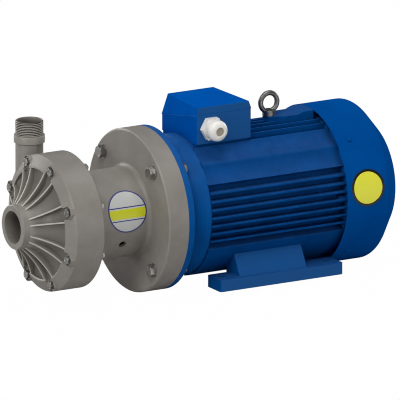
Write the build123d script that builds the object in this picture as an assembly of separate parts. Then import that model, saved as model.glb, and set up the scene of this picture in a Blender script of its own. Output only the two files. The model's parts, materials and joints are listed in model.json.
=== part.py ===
from build123d import *
from math import atan2, cos, pi, radians, sin, sqrt, tan
import os

# Magnetic-drive chemical pump, close-coupled to a foot and flange motor.
# All lengths are millimetres. X runs along the shaft from the suction port to the fan,
# Z is up, and the origin is the centre of the four foot holes on the base plane.
# Pieces are modelled about the shaft axis and lifted by shaft_height when they are written.

# Motor mounting sizes, frame size 160 with a long foot
shaft_height = 160.0
foot_holes_along = 254.0
foot_holes_across = 254.0
foot_hole_d = 14.5
foot_hole_to_shoulder = 108.0
flange_d = 350.0
flange_bolt_edge = 25.0
flange_pcd = flange_d - 2 * flange_bolt_edge
flange_spigot_step = 25.0
flange_spigot_d = flange_pcd - 2 * flange_spigot_step
flange_spigot_height = 5.0
shaft_end_d = 42.0
shaft_end_length = 110.0

# Fits and clearances, each measured on the radius or between faces
snug = 0.05
running = 0.05
bolt_slack = 0.5
axial_play = 0.3

# Pump envelope
suction_bore_d = 70.4
suction_ring_d = 95.2
suction_reach = 59.0
casing_d = 292.0
rim_inset = 24.0
rim_d = casing_d - 2 * rim_inset
rim_width = 4.0
rim_inner_d = rim_d - 2 * rim_width
shoulder_depth = 15.0
barrel_length = 49.0
casing_bolt_edge = 13.5
casing_pcd = casing_d - 2 * casing_bolt_edge
casing_bolt_count = 8
casing_bolt_start_angle = 22.5
casing_flange_thickness = 18.0
lantern_neck_d = 190.0
lantern_neck_length = 139.0
lantern_flange_thickness = 48.0

# Discharge branch
discharge_inset = 50.0
discharge_offset = casing_d / 2 - discharge_inset
discharge_behind_rim = 36.0
discharge_rise = 54.0
discharge_top = casing_d / 2 + discharge_rise
discharge_thread_d = 59.6
discharge_thread_length = 30.5
discharge_bore_d = 52.6
discharge_collar_d = 65.8
discharge_collar_height = 18.5
discharge_neck_d = 59.0

# Motor envelope
flange_thickness = 15.0
shield_cone_length = 42.0
shield_cone_clearance = 22.0
shield_cone_start_d = flange_pcd - 2 * shield_cone_clearance
shield_rim_length = 12.0
frame_length = 331.0
frame_d = 308.0
frame_rim_step = 4.0
shield_rim_d = frame_d - 2 * frame_rim_step
fin_height = 20.0
frame_wall = 7.0
root_r = frame_d / 2 - fin_height
stator_outer_r = root_r - frame_wall
register_step = 3.0
register_r = stator_outer_r + register_step
cowl_gap = 17.0
cowl_d = frame_d + 2 * cowl_gap
cowl_length = 147.0
cowl_cone_length = 44.0
cowl_back_d = 240.0
cowl_overlap = 10.0
cowl_sheet = 2.5

# Stations along the shaft that the sizes above give
flange_x = -(foot_holes_along / 2 + foot_hole_to_shoulder)
flange_rear_x = flange_x + flange_thickness
shaft_end_x = flange_x - shaft_end_length
lantern_flange_x = flange_x - lantern_flange_thickness
casing_flange_rear_x = lantern_flange_x - lantern_neck_length
casing_rear_x = casing_flange_rear_x - casing_flange_thickness
shoulder_x = casing_rear_x - barrel_length
rim_x = shoulder_x - shoulder_depth
suction_x = rim_x - suction_reach
discharge_x = rim_x + discharge_behind_rim
frame_x = flange_rear_x + shield_cone_length + shield_rim_length
frame_end_x = frame_x + frame_length
cowl_x = frame_end_x - cowl_overlap
cowl_end_x = cowl_x + cowl_length


def turned(*outline):
    """Solid turned about the shaft from (x, radius) points."""
    return revolve(make_face(Polyline(*outline, close=True)), Axis.X)


def ring(start, end, inner_r, outer_r):
    return turned((start, inner_r), (end, inner_r), (end, outer_r), (start, outer_r))


def rod(radius, start, end):
    return turned((start, 0), (end, 0), (end, radius), (start, radius))


def at_angle(shape, angle, radius):
    """The shape moved out by a radius and turned about the shaft, from +Y towards +Z."""
    return Rot(X=angle) * Pos(0, radius, 0) * shape


def around(shape, count, start_angle, radius):
    step = 360 / count
    return [at_angle(shape, start_angle + step * i, radius) for i in range(count)]


def hexagon(across_flats, start, end):
    """Hexagonal prism along X with the points of its outer face chamfered."""
    corner_r = across_flats / sqrt(3)
    chamfer = (corner_r - across_flats / 2) * 0.6
    prism = extrude(
        Plane.YZ.offset(start) * RegularPolygon(across_flats / 2, 6, major_radius=False),
        end - start,
    )
    limit = turned(
        (start, 0),
        (start, across_flats / 2),
        (start + chamfer, corner_r),
        (end, corner_r),
        (end, 0),
    )
    return prism & limit


def hex_bolt(shank_d, across_flats, head_height, seat_x, end_x):
    """Hexagon bolt whose head lies towards the suction side of its seat."""
    head = hexagon(across_flats, seat_x - head_height, seat_x)
    tip = shank_d * 0.12
    shank = turned(
        (seat_x, 0),
        (seat_x, shank_d / 2),
        (end_x - tip, shank_d / 2),
        (end_x, shank_d / 2 - tip),
        (end_x, 0),
    )
    return head + shank


def box_between(low, high):
    size = [b - a for a, b in zip(low, high)]
    middle = [(a + b) / 2 for a, b in zip(low, high)]
    return Pos(*middle) * Box(*size)


def save(name, shape):
    pieces = shape if isinstance(shape, list) else [shape]
    lifted = [Pos(0, 0, shaft_height) * piece for piece in pieces]
    solid = lifted[0] if len(lifted) == 1 else Compound(children=lifted)
    export_step(solid, f"parts/{name}.step")


# Casing: front cover with suction port, trumpet, ribs, bolt pockets and discharge neck
casing_bolt_d = 10.0
casing_bolt_head_flats = 16.0
casing_bolt_head_height = 6.4
casing_washer_d = 21.0
casing_washer_thickness = 2.0
casing_nut_height = 8.0
pocket_d = 26.0
pocket_floor_x = rim_x + casing_washer_thickness + casing_bolt_head_height
trumpet_start_x = suction_x + 16.0
trumpet_waist = (rim_x - 4.5, 73.0)
trumpet_end_x = pocket_floor_x
rim_rounding = 3.0
rib_spread_angle = 8.5
rib_thickness = 3.2
rib_start = (suction_x + 14.0, suction_ring_d / 2 - 1.0)
rib_middle = (rim_x - 17.5, 80.0)
rib_end = (rim_x + 1.5, rim_d / 2)
chamber_depth = 35.0
shell_flange_thickness = 12.0
shell_flange_clearance = 9.5
shell_flange_d = casing_pcd - casing_bolt_d - 2 * shell_flange_clearance
shell_seal_land = 6.0
chamber_d = shell_flange_d - 2 * shell_seal_land
shell_seat_x = casing_rear_x - shell_flange_thickness
chamber_front_x = shell_seat_x - chamber_depth
wear_ring_d = 96.0
wear_ring_length = 11.0
spider_end_x = chamber_front_x - wear_ring_length + 1.0
wear_ring_bore_d = 84.6
throat_d = 33.0
diffuser_start = 95.0
oring_section_r = 1.75
oring_r = (chamber_d / 2 + shell_flange_d / 2) / 2
spider_length = 15.0
spider_hub_r = 19.0
spider_vane = 5.0
spider_relief = 1.4
spindle_r = 14.0
spindle_socket_depth = 8.0
discharge_collar_edge = 1.5
neck_flute_depth = 1.6
neck_flutes = ((-75.0, 22.0), (-165.0, 5.0))


def casing_outer():
    """Outer form of the cover, from the suction ring over the trumpet to the barrel."""
    bore_r = suction_bore_d / 2
    ring_r = suction_ring_d / 2
    edge = 1.5
    barrel_edge = 3.0
    inner_r = rim_inner_d / 2
    trumpet_end = (trumpet_end_x, inner_r)
    rim_foot = (rim_x + rim_rounding, inner_r)
    rim_bend = rim_rounding * (1 - sqrt(0.5))
    rim_crest = (rim_x, inner_r + rim_rounding)
    outline = [
        Line((suction_x, bore_r), (suction_x, ring_r - edge)),
        Line((suction_x, ring_r - edge), (suction_x + edge, ring_r)),
        Line((suction_x + edge, ring_r), (trumpet_start_x, ring_r)),
        ThreePointArc((trumpet_start_x, ring_r), trumpet_waist, trumpet_end),
        Line(trumpet_end, rim_foot),
        ThreePointArc(rim_foot, (rim_x + rim_bend, inner_r + rim_bend), rim_crest),
        Line(rim_crest, (rim_x, rim_d / 2)),
        Line((rim_x, rim_d / 2), (shoulder_x - barrel_edge, casing_d / 2 - barrel_edge)),
        Line((shoulder_x - barrel_edge, casing_d / 2 - barrel_edge), (shoulder_x, casing_d / 2)),
        Line((shoulder_x, casing_d / 2), (casing_rear_x, casing_d / 2)),
        Line((casing_rear_x, casing_d / 2), (casing_rear_x, bore_r)),
        Line((casing_rear_x, bore_r), (suction_x, bore_r)),
    ]
    return revolve(make_face(outline), Axis.X)


def casing_rib():
    """One thin rib that follows the trumpet from the suction ring to the rim."""
    root_r = suction_bore_d / 2 + 3.0
    root_x = shoulder_x
    outline = [
        ThreePointArc(rib_start, rib_middle, rib_end),
        Line(rib_end, (root_x, rib_end[1])),
        Line((root_x, rib_end[1]), (root_x, root_r)),
        Line((root_x, root_r), (rib_start[0], root_r)),
        Line((rib_start[0], root_r), rib_start),
    ]
    return extrude(make_face(outline), rib_thickness / 2, both=True)


def discharge_neck():
    """Solid upright neck on the far side of the barrel, below the nipple."""
    top = discharge_top - discharge_thread_length - discharge_collar_height
    foot = discharge_offset / 2
    neck = Pos(discharge_x, discharge_offset, (top + foot) / 2) * Cylinder(
        discharge_neck_d / 2, top - foot
    )
    behind = ring(
        casing_rear_x, casing_rear_x + casing_flange_thickness, 0, casing_d / 2 + 2 * axial_play
    )
    neck -= behind
    for angle, flute_r in neck_flutes:
        distance = discharge_neck_d / 2 + flute_r - neck_flute_depth
        x = discharge_x + distance * cos(radians(angle))
        y = discharge_offset + distance * sin(radians(angle))
        neck -= Pos(x, y, (top + foot) / 2) * Cylinder(flute_r, top - foot - 2 * discharge_collar_edge)
    return neck


def discharge_passage():
    """Throat and diffuser that the pumped liquid leaves through."""
    top = discharge_top - discharge_thread_length - discharge_collar_height
    throat_x = (chamber_front_x + shell_seat_x) / 2
    middle = Pos(throat_x, discharge_offset, diffuser_start / 2) * Cylinder(
        throat_d / 2, diffuser_start
    )
    low = Plane((throat_x, discharge_offset, diffuser_start)) * Circle(throat_d / 2)
    high = Plane((discharge_x, discharge_offset, top)) * Circle(discharge_bore_d / 2)
    return middle + loft([low, high])


def spider():
    """Hub on three vanes in the suction bore that holds the front of the spindle."""
    start_x = spider_end_x - spider_length
    end_x = spider_end_x
    nose = 6.0
    hub = turned(
        (start_x, 0),
        (start_x, spider_hub_r * 0.4),
        (start_x + nose, spider_hub_r),
        (end_x, spider_hub_r),
        (end_x, 0),
    )
    reach = suction_bore_d / 2 + spider_relief + 1.0
    vane = box_between((start_x + nose, 0, -spider_vane / 2), (end_x, reach, spider_vane / 2))
    holder = hub
    for piece in around(vane, 3, 90, 0):
        holder += piece
    socket = rod(spindle_r + snug, end_x - spindle_socket_depth, end_x)
    return holder - socket


def casing():
    body = casing_outer()
    for i in range(casing_bolt_count):
        bolt_angle = casing_bolt_start_angle + 360 / casing_bolt_count * i
        for side in (-1, 1):
            body += at_angle(casing_rib(), bolt_angle - 90 + side * rib_spread_angle, 0)
    boss = rod(pocket_d / 2 + 1.5, pocket_floor_x - 4.0, shoulder_x + 6.0)
    pocket = rod(pocket_d / 2, rim_x - 10.0, pocket_floor_x)
    pocket_reach = (casing_pcd - rim_inner_d) / 2 + 1.0
    pocket += box_between(
        (rim_x - 10.0, -pocket_reach, -pocket_d / 2), (pocket_floor_x, 0, pocket_d / 2)
    )
    hole = rod(casing_bolt_d / 2 + bolt_slack, rim_x - 10.0, casing_rear_x + 1.0)
    for piece in around(boss, casing_bolt_count, casing_bolt_start_angle, casing_pcd / 2):
        body += piece & rod(casing_d / 2, rim_x, casing_rear_x)
    body += discharge_neck()
    for cut in (pocket, hole):
        for piece in around(cut, casing_bolt_count, casing_bolt_start_angle, casing_pcd / 2):
            body -= piece
    body -= rod(chamber_d / 2, chamber_front_x, shell_seat_x)
    body -= rod(shell_flange_d / 2 + snug, shell_seat_x, casing_rear_x + 1.0)
    body -= rod(wear_ring_d / 2 + snug, chamber_front_x - wear_ring_length, chamber_front_x)
    spider_x = spider_end_x - spider_length
    body -= rod(suction_bore_d / 2, suction_x - 1.0, spider_x)
    body -= rod(suction_bore_d / 2 + spider_relief, spider_x, chamber_front_x)
    body -= ring(
        shell_seat_x - 2 * oring_section_r,
        shell_seat_x,
        oring_r - oring_section_r - snug,
        oring_r + oring_section_r + snug,
    )
    body -= discharge_passage()
    return body + spider()


def discharge_nipple():
    """Collar and threaded end of the discharge; the turns are left to the surface finish."""
    thread_r = discharge_thread_d / 2
    collar_r = discharge_collar_d / 2
    bore_r = discharge_bore_d / 2
    collar_top = discharge_top - discharge_thread_length
    collar_foot = collar_top - discharge_collar_height
    edge = discharge_collar_edge
    underside = 2.0
    half = Polyline(
        (bore_r, collar_foot),
        (discharge_neck_d / 2, collar_foot),
        (collar_r, collar_foot + underside),
        (collar_r, collar_top - edge),
        (collar_r - edge, collar_top),
        (thread_r, collar_top),
        (thread_r, discharge_top - edge),
        (thread_r - edge, discharge_top),
        (bore_r, discharge_top),
        close=True,
    )
    nipple = revolve(make_face(Plane.XZ * half), Axis.Z)
    return Pos(discharge_x, discharge_offset, 0) * nipple


# Fasteners that clamp the casing to the lantern
def casing_bolts():
    seat_x = pocket_floor_x - casing_washer_thickness
    end_x = casing_flange_rear_x + casing_nut_height + 4.0
    bolt = hex_bolt(
        casing_bolt_d, casing_bolt_head_flats, casing_bolt_head_height, seat_x, end_x
    )
    return around(bolt, casing_bolt_count, casing_bolt_start_angle, casing_pcd / 2)


def casing_washers():
    washer = ring(
        pocket_floor_x - casing_washer_thickness,
        pocket_floor_x,
        casing_bolt_d / 2 + snug,
        casing_washer_d / 2,
    )
    return around(washer, casing_bolt_count, casing_bolt_start_angle, casing_pcd / 2)


def casing_nuts():
    nut = hexagon(
        casing_bolt_head_flats, casing_flange_rear_x, casing_flange_rear_x + casing_nut_height
    ) - rod(casing_bolt_d / 2 + snug, casing_flange_rear_x - 1, casing_flange_rear_x + 20)
    return around(nut, casing_bolt_count, casing_bolt_start_angle, casing_pcd / 2)


def casing_o_ring():
    section = Pos(shell_seat_x - oring_section_r, oring_r) * Circle(oring_section_r)
    return revolve(section, Axis.X)


def impeller_wear_ring():
    start_x = chamber_front_x - wear_ring_length
    return ring(start_x, chamber_front_x, wear_ring_bore_d / 2, wear_ring_d / 2)


# Isolation shell, spindle and thrust rings, which stand still in the liquid
can_inner_r = 60.0
can_wall = 4.0
can_length = 78.0
can_bottom = 6.0
socket_boss_length = 8.0
socket_boss_r = 22.0
thrust_ring_r = 18.5
front_thrust_thickness = 5.0
rear_thrust_thickness = 3.0
can_end_x = casing_rear_x + can_length
can_bottom_x = can_end_x - can_bottom
socket_boss_x = can_bottom_x - socket_boss_length


def isolation_shell():
    """Cup with a clamped flange that keeps the liquid away from the motor."""
    can_outer_r = can_inner_r + can_wall
    corner = 6.0
    shell = turned(
        (shell_seat_x, can_inner_r),
        (shell_seat_x, shell_flange_d / 2),
        (casing_rear_x, shell_flange_d / 2),
        (casing_rear_x, can_outer_r),
        (can_end_x - corner, can_outer_r),
        (can_end_x, can_outer_r - corner),
        (can_end_x, 0),
        (socket_boss_x, 0),
        (socket_boss_x, socket_boss_r),
        (can_bottom_x, socket_boss_r),
        (can_bottom_x, can_inner_r),
    )
    return shell - rod(spindle_r + snug, socket_boss_x, socket_boss_x + socket_boss_length)


def ceramic_spindle():
    start_x = spider_end_x - spindle_socket_depth
    end_x = socket_boss_x + socket_boss_length
    edge = 1.0
    return turned(
        (start_x, 0),
        (start_x, spindle_r - edge),
        (start_x + edge, spindle_r),
        (end_x - edge, spindle_r),
        (end_x, spindle_r - edge),
        (end_x, 0),
    )


def front_thrust_ring():
    end_x = spider_end_x + front_thrust_thickness
    return ring(spider_end_x, end_x, spindle_r + snug, thrust_ring_r)


def rear_thrust_ring():
    start_x = socket_boss_x - rear_thrust_thickness
    return ring(start_x, socket_boss_x, spindle_r + snug, thrust_ring_r)


# Impeller and inner magnet rotor, which turn on the spindle
bush_r = 19.0
bush_length = 25.0
impeller_d = 184.0
impeller_eye_r = 38.0
impeller_eye_wall = 4.0
impeller_hub_r = 24.0
shroud_thickness = 4.0
passage_width = 18.0
back_gap = 3.0
vane_count = 6
vane_first_angle = 15.0
vane_thickness = 4.0
vane_start_r = 40.0
vane_sweep_angle = 62.0
carrier_tail_gap = 2.0
magnet_count = 8
magnet_arc = 40.0
inner_magnet_r = 56.0
inner_magnet_depth = 6.0
inner_sleeve_wall = 2.0
magnet_length = 42.0
front_bush_x = spider_end_x + front_thrust_thickness + axial_play
rear_bush_end_x = socket_boss_x - rear_thrust_thickness - axial_play
back_shroud_x = shell_seat_x - back_gap
carrier_x = back_shroud_x + 5.0
carrier_end_x = rear_bush_end_x - carrier_tail_gap
magnet_end_x = carrier_end_x - 5.0
magnet_x = magnet_end_x - magnet_length


def impeller_vane():
    """Backward-curved vane between the shrouds, drawn in the YZ plane."""
    tip_r = impeller_d / 2 - 0.5
    middle_r = (vane_start_r + tip_r) / 2

    def on_circle(radius, angle):
        return (radius * cos(radians(angle)), radius * sin(radians(angle)))

    half_turn = vane_sweep_angle / 2
    lag = 7.0
    thick_in = vane_thickness / vane_start_r * 57.3
    thick_out = vane_thickness / tip_r * 57.3
    thick_mid = vane_thickness / middle_r * 57.3
    start, bend, end = (
        on_circle(vane_start_r, 0),
        on_circle(middle_r, half_turn - lag),
        on_circle(tip_r, vane_sweep_angle),
    )
    start_b, bend_b, end_b = (
        on_circle(vane_start_r, thick_in),
        on_circle(middle_r, half_turn - lag + thick_mid),
        on_circle(tip_r, vane_sweep_angle + thick_out),
    )
    outline = [
        ThreePointArc(start, bend, end),
        Line(end, end_b),
        ThreePointArc(end_b, bend_b, start_b),
        Line(start_b, start),
    ]
    front_x = back_shroud_x - shroud_thickness - passage_width - 1.0
    return extrude(Plane.YZ.offset(front_x) * make_face(outline), passage_width + 2.0)


def impeller():
    back_front_x = back_shroud_x - shroud_thickness
    front_rear_x = back_front_x - passage_width
    front_x = front_rear_x - shroud_thickness
    eye_x = chamber_front_x - wear_ring_length + 1.0
    outer_r = impeller_d / 2
    eye_outer_r = impeller_eye_r + impeller_eye_wall
    back = turned(
        (front_bush_x + 1.0, bush_r + snug),
        (front_bush_x + 1.0, impeller_hub_r - 2.0),
        (front_bush_x + 6.0, impeller_hub_r),
        (back_front_x - 8.0, impeller_hub_r),
        (back_front_x, impeller_hub_r + 12.0),
        (back_front_x, outer_r),
        (back_shroud_x, outer_r),
        (back_shroud_x, 42.0),
        (carrier_x, 42.0),
        (carrier_x, bush_r + snug),
    )
    front = turned(
        (eye_x, impeller_eye_r),
        (eye_x, eye_outer_r),
        (front_x, eye_outer_r),
        (front_x, outer_r),
        (front_rear_x, outer_r),
        (front_rear_x, impeller_eye_r + 3.0),
        (front_rear_x - 3.0, impeller_eye_r),
    )
    wheel = back + front
    for piece in around(impeller_vane(), vane_count, vane_first_angle, 0):
        wheel += piece
    return wheel


def front_bush():
    return ring(front_bush_x, front_bush_x + bush_length, spindle_r + running, bush_r)


def rear_bush():
    return ring(rear_bush_end_x - bush_length, rear_bush_end_x, spindle_r + running, bush_r)


def inner_magnet_carrier():
    core_r = inner_magnet_r - inner_magnet_depth
    collar_r = inner_magnet_r + inner_sleeve_wall
    return turned(
        (carrier_x, bush_r + snug),
        (carrier_x, collar_r),
        (magnet_x, collar_r),
        (magnet_x, core_r),
        (magnet_end_x, core_r),
        (magnet_end_x, collar_r),
        (carrier_end_x, collar_r),
        (carrier_end_x, bush_r + snug),
    )


def magnet_segments(inner_r, outer_r, start_x, end_x):
    section = make_face(
        Polyline(
            (start_x, inner_r),
            (end_x, inner_r),
            (end_x, outer_r),
            (start_x, outer_r),
            close=True,
        )
    )
    segment = revolve(section, Axis.X, magnet_arc)
    return around(segment, magnet_count, 0, 0)


def inner_magnets():
    core_r = inner_magnet_r - inner_magnet_depth
    return magnet_segments(
        core_r + snug, inner_magnet_r - snug, magnet_x + snug, magnet_end_x - snug
    )


def inner_magnet_sleeve():
    outer_r = inner_magnet_r + inner_sleeve_wall
    return ring(magnet_x + snug, magnet_end_x - snug, inner_magnet_r, outer_r)


# Outer magnet bell on the motor shaft
bell_outer_r = 82.0
bell_wall = 6.0
bell_hub_r = 36.0
bell_hub_length = 57.0
bell_disc = 10.0
bell_ahead_of_shaft = 2.0
outer_magnet_depth = 9.5
bell_lip = 6.0
bell_face_x = shaft_end_x - bell_ahead_of_shaft
bell_open_x = magnet_x - bell_lip
key_width = 12.0
key_height = 8.0
key_depth = 5.0
key_length = 45.0
key_x = shaft_end_x + 5.0
retainer_screw_d = 10.0
retainer_r = 16.0
retainer_thickness = 3.0


def keyway(extra):
    base = shaft_end_d / 2 - key_depth
    return box_between(
        (key_x - extra, -key_width / 2 - extra, base),
        (key_x + key_length + extra, key_width / 2 + extra, base + key_height + extra),
    )


def outer_magnet_bell():
    bell = turned(
        (bell_open_x, bell_outer_r - bell_wall),
        (bell_open_x, bell_outer_r),
        (bell_face_x + bell_disc, bell_outer_r),
        (bell_face_x + bell_disc, bell_hub_r),
        (bell_face_x + bell_hub_length, bell_hub_r),
        (bell_face_x + bell_hub_length, shaft_end_d / 2 + snug),
        (shaft_end_x, shaft_end_d / 2 + snug),
        (shaft_end_x, retainer_screw_d / 2 + 1.0),
        (bell_face_x, retainer_screw_d / 2 + 1.0),
        (bell_face_x, bell_outer_r - bell_wall),
    )
    return bell - keyway(snug)


def outer_magnets():
    outer_r = bell_outer_r - bell_wall
    return magnet_segments(outer_r - outer_magnet_depth, outer_r - snug, magnet_x, magnet_end_x)


def shaft_key():
    return keyway(0)


def bell_retaining_washer():
    return ring(
        bell_face_x - retainer_thickness, bell_face_x, retainer_screw_d / 2 + snug, retainer_r
    )


def bell_retaining_screw():
    seat_x = bell_face_x - retainer_thickness
    return hex_bolt(retainer_screw_d, 16.0, 5.0, seat_x, shaft_end_x + 25.0)


# Lantern between the casing and the motor flange
lantern_wall = 8.0
neck_fillet = 10.0
flange_edge = 4.0
drain_d = 17.0
drain_before_flange = 61.5
drain_angle = 210.0
tie_bolt_d = 16.0
tie_bolt_flats = 24.0
tie_bolt_head = 10.0
tie_washer_d = 30.0
tie_washer_thickness = 3.0
tie_nut_height = 13.0
tie_hole_d = 18.5
tie_bolt_count = 4


def lantern():
    """Tubular bracket with a flange at each end and a drain hole low on one side."""
    neck_r = lantern_neck_d / 2
    bore_r = neck_r - lantern_wall
    outer = flange_d / 2
    spigot_r = flange_spigot_d / 2 + snug
    spigot_x = flange_x - flange_spigot_height
    rear_edge = 2.0
    bend = neck_fillet * (1 - sqrt(0.5))
    front_fillet = ThreePointArc(
        (casing_flange_rear_x, neck_r + neck_fillet),
        (casing_flange_rear_x + bend, neck_r + bend),
        (casing_flange_rear_x + neck_fillet, neck_r),
    )
    rear_fillet = ThreePointArc(
        (lantern_flange_x - neck_fillet, neck_r),
        (lantern_flange_x - bend, neck_r + bend),
        (lantern_flange_x, neck_r + neck_fillet),
    )
    bevel = flange_edge * (1 - sqrt(0.5))
    rim_arc = ThreePointArc(
        (lantern_flange_x, outer - flange_edge),
        (lantern_flange_x + bevel, outer - bevel),
        (lantern_flange_x + flange_edge, outer),
    )
    casing_r = casing_d / 2
    outline = [
        Line((casing_rear_x, bore_r), (casing_rear_x, casing_r)),
        Line((casing_rear_x, casing_r), (casing_flange_rear_x - rear_edge, casing_r)),
        Line(
            (casing_flange_rear_x - rear_edge, casing_r),
            (casing_flange_rear_x, casing_r - rear_edge),
        ),
        Line((casing_flange_rear_x, casing_r - rear_edge), front_fillet @ 0),
        front_fillet,
        Line(front_fillet @ 1, rear_fillet @ 0),
        rear_fillet,
        Line(rear_fillet @ 1, rim_arc @ 0),
        rim_arc,
        Line(rim_arc @ 1, (flange_x, outer)),
        Line((flange_x, outer), (flange_x, spigot_r)),
        Line((flange_x, spigot_r), (spigot_x, spigot_r)),
        Line((spigot_x, spigot_r), (spigot_x, bore_r)),
        Line((spigot_x, bore_r), (casing_rear_x, bore_r)),
    ]
    body = revolve(make_face(outline), Axis.X)
    casing_hole = rod(casing_bolt_d / 2 + bolt_slack, casing_rear_x - 1, casing_flange_rear_x + 1)
    for piece in around(casing_hole, casing_bolt_count, casing_bolt_start_angle, casing_pcd / 2):
        body -= piece
    tie_hole = rod(tie_hole_d / 2, lantern_flange_x - 1, flange_x + 1)
    for piece in around(tie_hole, tie_bolt_count, 45, flange_pcd / 2):
        body -= piece
    drain_x = lantern_flange_x - drain_before_flange
    drain = Pos(drain_x, 0, 0) * Rot(X=-90) * Cylinder(drain_d / 2, 3 * lantern_wall)
    return body - at_angle(drain, drain_angle, neck_r)


def lantern_bolts():
    seat_x = lantern_flange_x - tie_washer_thickness
    end_x = flange_rear_x + tie_nut_height + 4.0
    bolt = hex_bolt(tie_bolt_d, tie_bolt_flats, tie_bolt_head, seat_x, end_x)
    return around(bolt, tie_bolt_count, 45, flange_pcd / 2)


def lantern_washers():
    washer = ring(
        lantern_flange_x - tie_washer_thickness,
        lantern_flange_x,
        tie_bolt_d / 2 + snug,
        tie_washer_d / 2,
    )
    return around(washer, tie_bolt_count, 45, flange_pcd / 2)


def lantern_nuts():
    nut = hexagon(tie_bolt_flats, flange_rear_x, flange_rear_x + tie_nut_height) - rod(
        tie_bolt_d / 2 + snug, flange_rear_x - 1, flange_rear_x + 30
    )
    return around(nut, tie_bolt_count, 45, flange_pcd / 2)


# Motor shaft, bearings, rotor and stator
bearing_bore_r = 22.5
bearing_outer_r = 50.0
bearing_width = 25.0
bearing_ring = 7.5
ball_count = 8
ball_r = 8.6
ball_pitch_r = (bearing_bore_r + bearing_outer_r) / 2
front_bearing_x = flange_x + 35.0
rear_bearing_end_x = frame_end_x - 3.0
rear_bearing_x = rear_bearing_end_x - bearing_width
bearing_shoulder_r = 27.0
rotor_seat_r = 30.0
fan_seat_r = 19.0
fan_hub_x = frame_end_x + 60.0
fan_hub_length = 38.0
shaft_tail_x = fan_hub_x + fan_hub_length + 6.0
core_length = 190.0
core_x = -100.0
air_gap = 0.5
stator_depth = 42.0
rotor_r = stator_outer_r - stator_depth - air_gap
winding_length = 35.0
winding_depth = 30.0
winding_outer_r = stator_outer_r - 6.0
winding_inner_r = winding_outer_r - winding_depth
cage_ring_length = 14.0
cage_ring_step = 3.5
cage_ring_depth = 23.0
cage_ring_outer_r = rotor_r - cage_ring_step
cage_ring_inner_r = cage_ring_outer_r - cage_ring_depth
seal_outer_r = 31.0
seal_width = 8.0
circlip_groove_x = fan_hub_x + fan_hub_length
circlip_width = 1.5
circlip_r = 22.5


def motor_shaft():
    stub_r = shaft_end_d / 2
    front_end_x = front_bearing_x + bearing_width
    core_end_x = core_x + core_length
    edge = 1.5
    shaft = turned(
        (shaft_end_x, 0),
        (shaft_end_x, stub_r - edge),
        (shaft_end_x + edge, stub_r),
        (front_bearing_x - 4.0, stub_r),
        (front_bearing_x - 4.0, bearing_bore_r),
        (front_end_x, bearing_bore_r),
        (front_end_x, bearing_shoulder_r),
        (core_x, bearing_shoulder_r),
        (core_x, rotor_seat_r),
        (core_end_x, rotor_seat_r),
        (core_end_x, bearing_shoulder_r),
        (rear_bearing_x, bearing_shoulder_r),
        (rear_bearing_x, bearing_bore_r),
        (rear_bearing_end_x + 2.0, bearing_bore_r),
        (rear_bearing_end_x + 2.0, fan_seat_r),
        (shaft_tail_x - edge, fan_seat_r),
        (shaft_tail_x, fan_seat_r - edge),
        (shaft_tail_x, 0),
    )
    shaft -= keyway(snug)
    shaft -= rod(retainer_screw_d / 2 + snug, shaft_end_x, shaft_end_x + 28.0)
    groove = ring(
        circlip_groove_x, circlip_groove_x + circlip_width + snug, fan_seat_r - 1, fan_seat_r + 1
    )
    return shaft - groove


def ball_track(start_x):
    middle_x = start_x + bearing_width / 2
    return Pos(middle_x, 0, 0) * Rot(0, 90, 0) * Torus(ball_pitch_r, ball_r + running)


def bearing_outer_ring(start_x):
    inner_r = bearing_outer_r - bearing_ring
    return ring(start_x, start_x + bearing_width, inner_r, bearing_outer_r) - ball_track(start_x)


def bearing_inner_ring(start_x):
    outer_r = bearing_bore_r + bearing_ring
    blank = ring(start_x, start_x + bearing_width, bearing_bore_r + snug, outer_r)
    return blank - ball_track(start_x)


def bearing_balls(start_x):
    ball = Pos(start_x + bearing_width / 2, 0, 0) * Sphere(ball_r)
    return around(ball, ball_count, 0, ball_pitch_r)


def shaft_seal():
    start_x = flange_x - flange_spigot_height + 1.0
    return ring(start_x, start_x + seal_width, shaft_end_d / 2 + running, seal_outer_r - snug)


def bearing_preload_spring():
    thickness = frame_end_x - rear_bearing_end_x - 2 * snug
    start_x = rear_bearing_end_x + snug
    return ring(start_x, start_x + thickness, bearing_outer_r - 7.0, bearing_outer_r - 1.0)


def stator_core():
    return ring(core_x, core_x + core_length, rotor_r + air_gap, stator_outer_r)


def stator_windings():
    """The two crowns of copper that stand out of the core."""
    round_off = 8.0

    def crown(face_x, direction):
        end_x = face_x + direction * winding_length
        near_end_x = end_x - direction * round_off
        return turned(
            (face_x, winding_inner_r),
            (near_end_x, winding_inner_r),
            (end_x, winding_inner_r + round_off),
            (end_x, winding_outer_r - round_off),
            (near_end_x, winding_outer_r),
            (face_x, winding_outer_r),
        )

    return [crown(core_x, -1), crown(core_x + core_length, 1)]


def rotor_core():
    core_end_x = core_x + core_length
    bore_r = rotor_seat_r + snug
    return turned(
        (core_x, bore_r),
        (core_x, cage_ring_inner_r),
        (core_x - cage_ring_length, cage_ring_inner_r),
        (core_x - cage_ring_length, cage_ring_outer_r),
        (core_x, cage_ring_outer_r),
        (core_x, rotor_r),
        (core_end_x, rotor_r),
        (core_end_x, cage_ring_outer_r),
        (core_end_x + cage_ring_length, cage_ring_outer_r),
        (core_end_x + cage_ring_length, cage_ring_inner_r),
        (core_end_x, cage_ring_inner_r),
        (core_end_x, bore_r),
    )


# End shields
register_depth = 8.0
register_wall = 8.0
bearing_boss_r = 66.0
shield_web = 12.0
shield_screw_d = 8.0
shield_screw_r = register_r + 11.0


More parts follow.
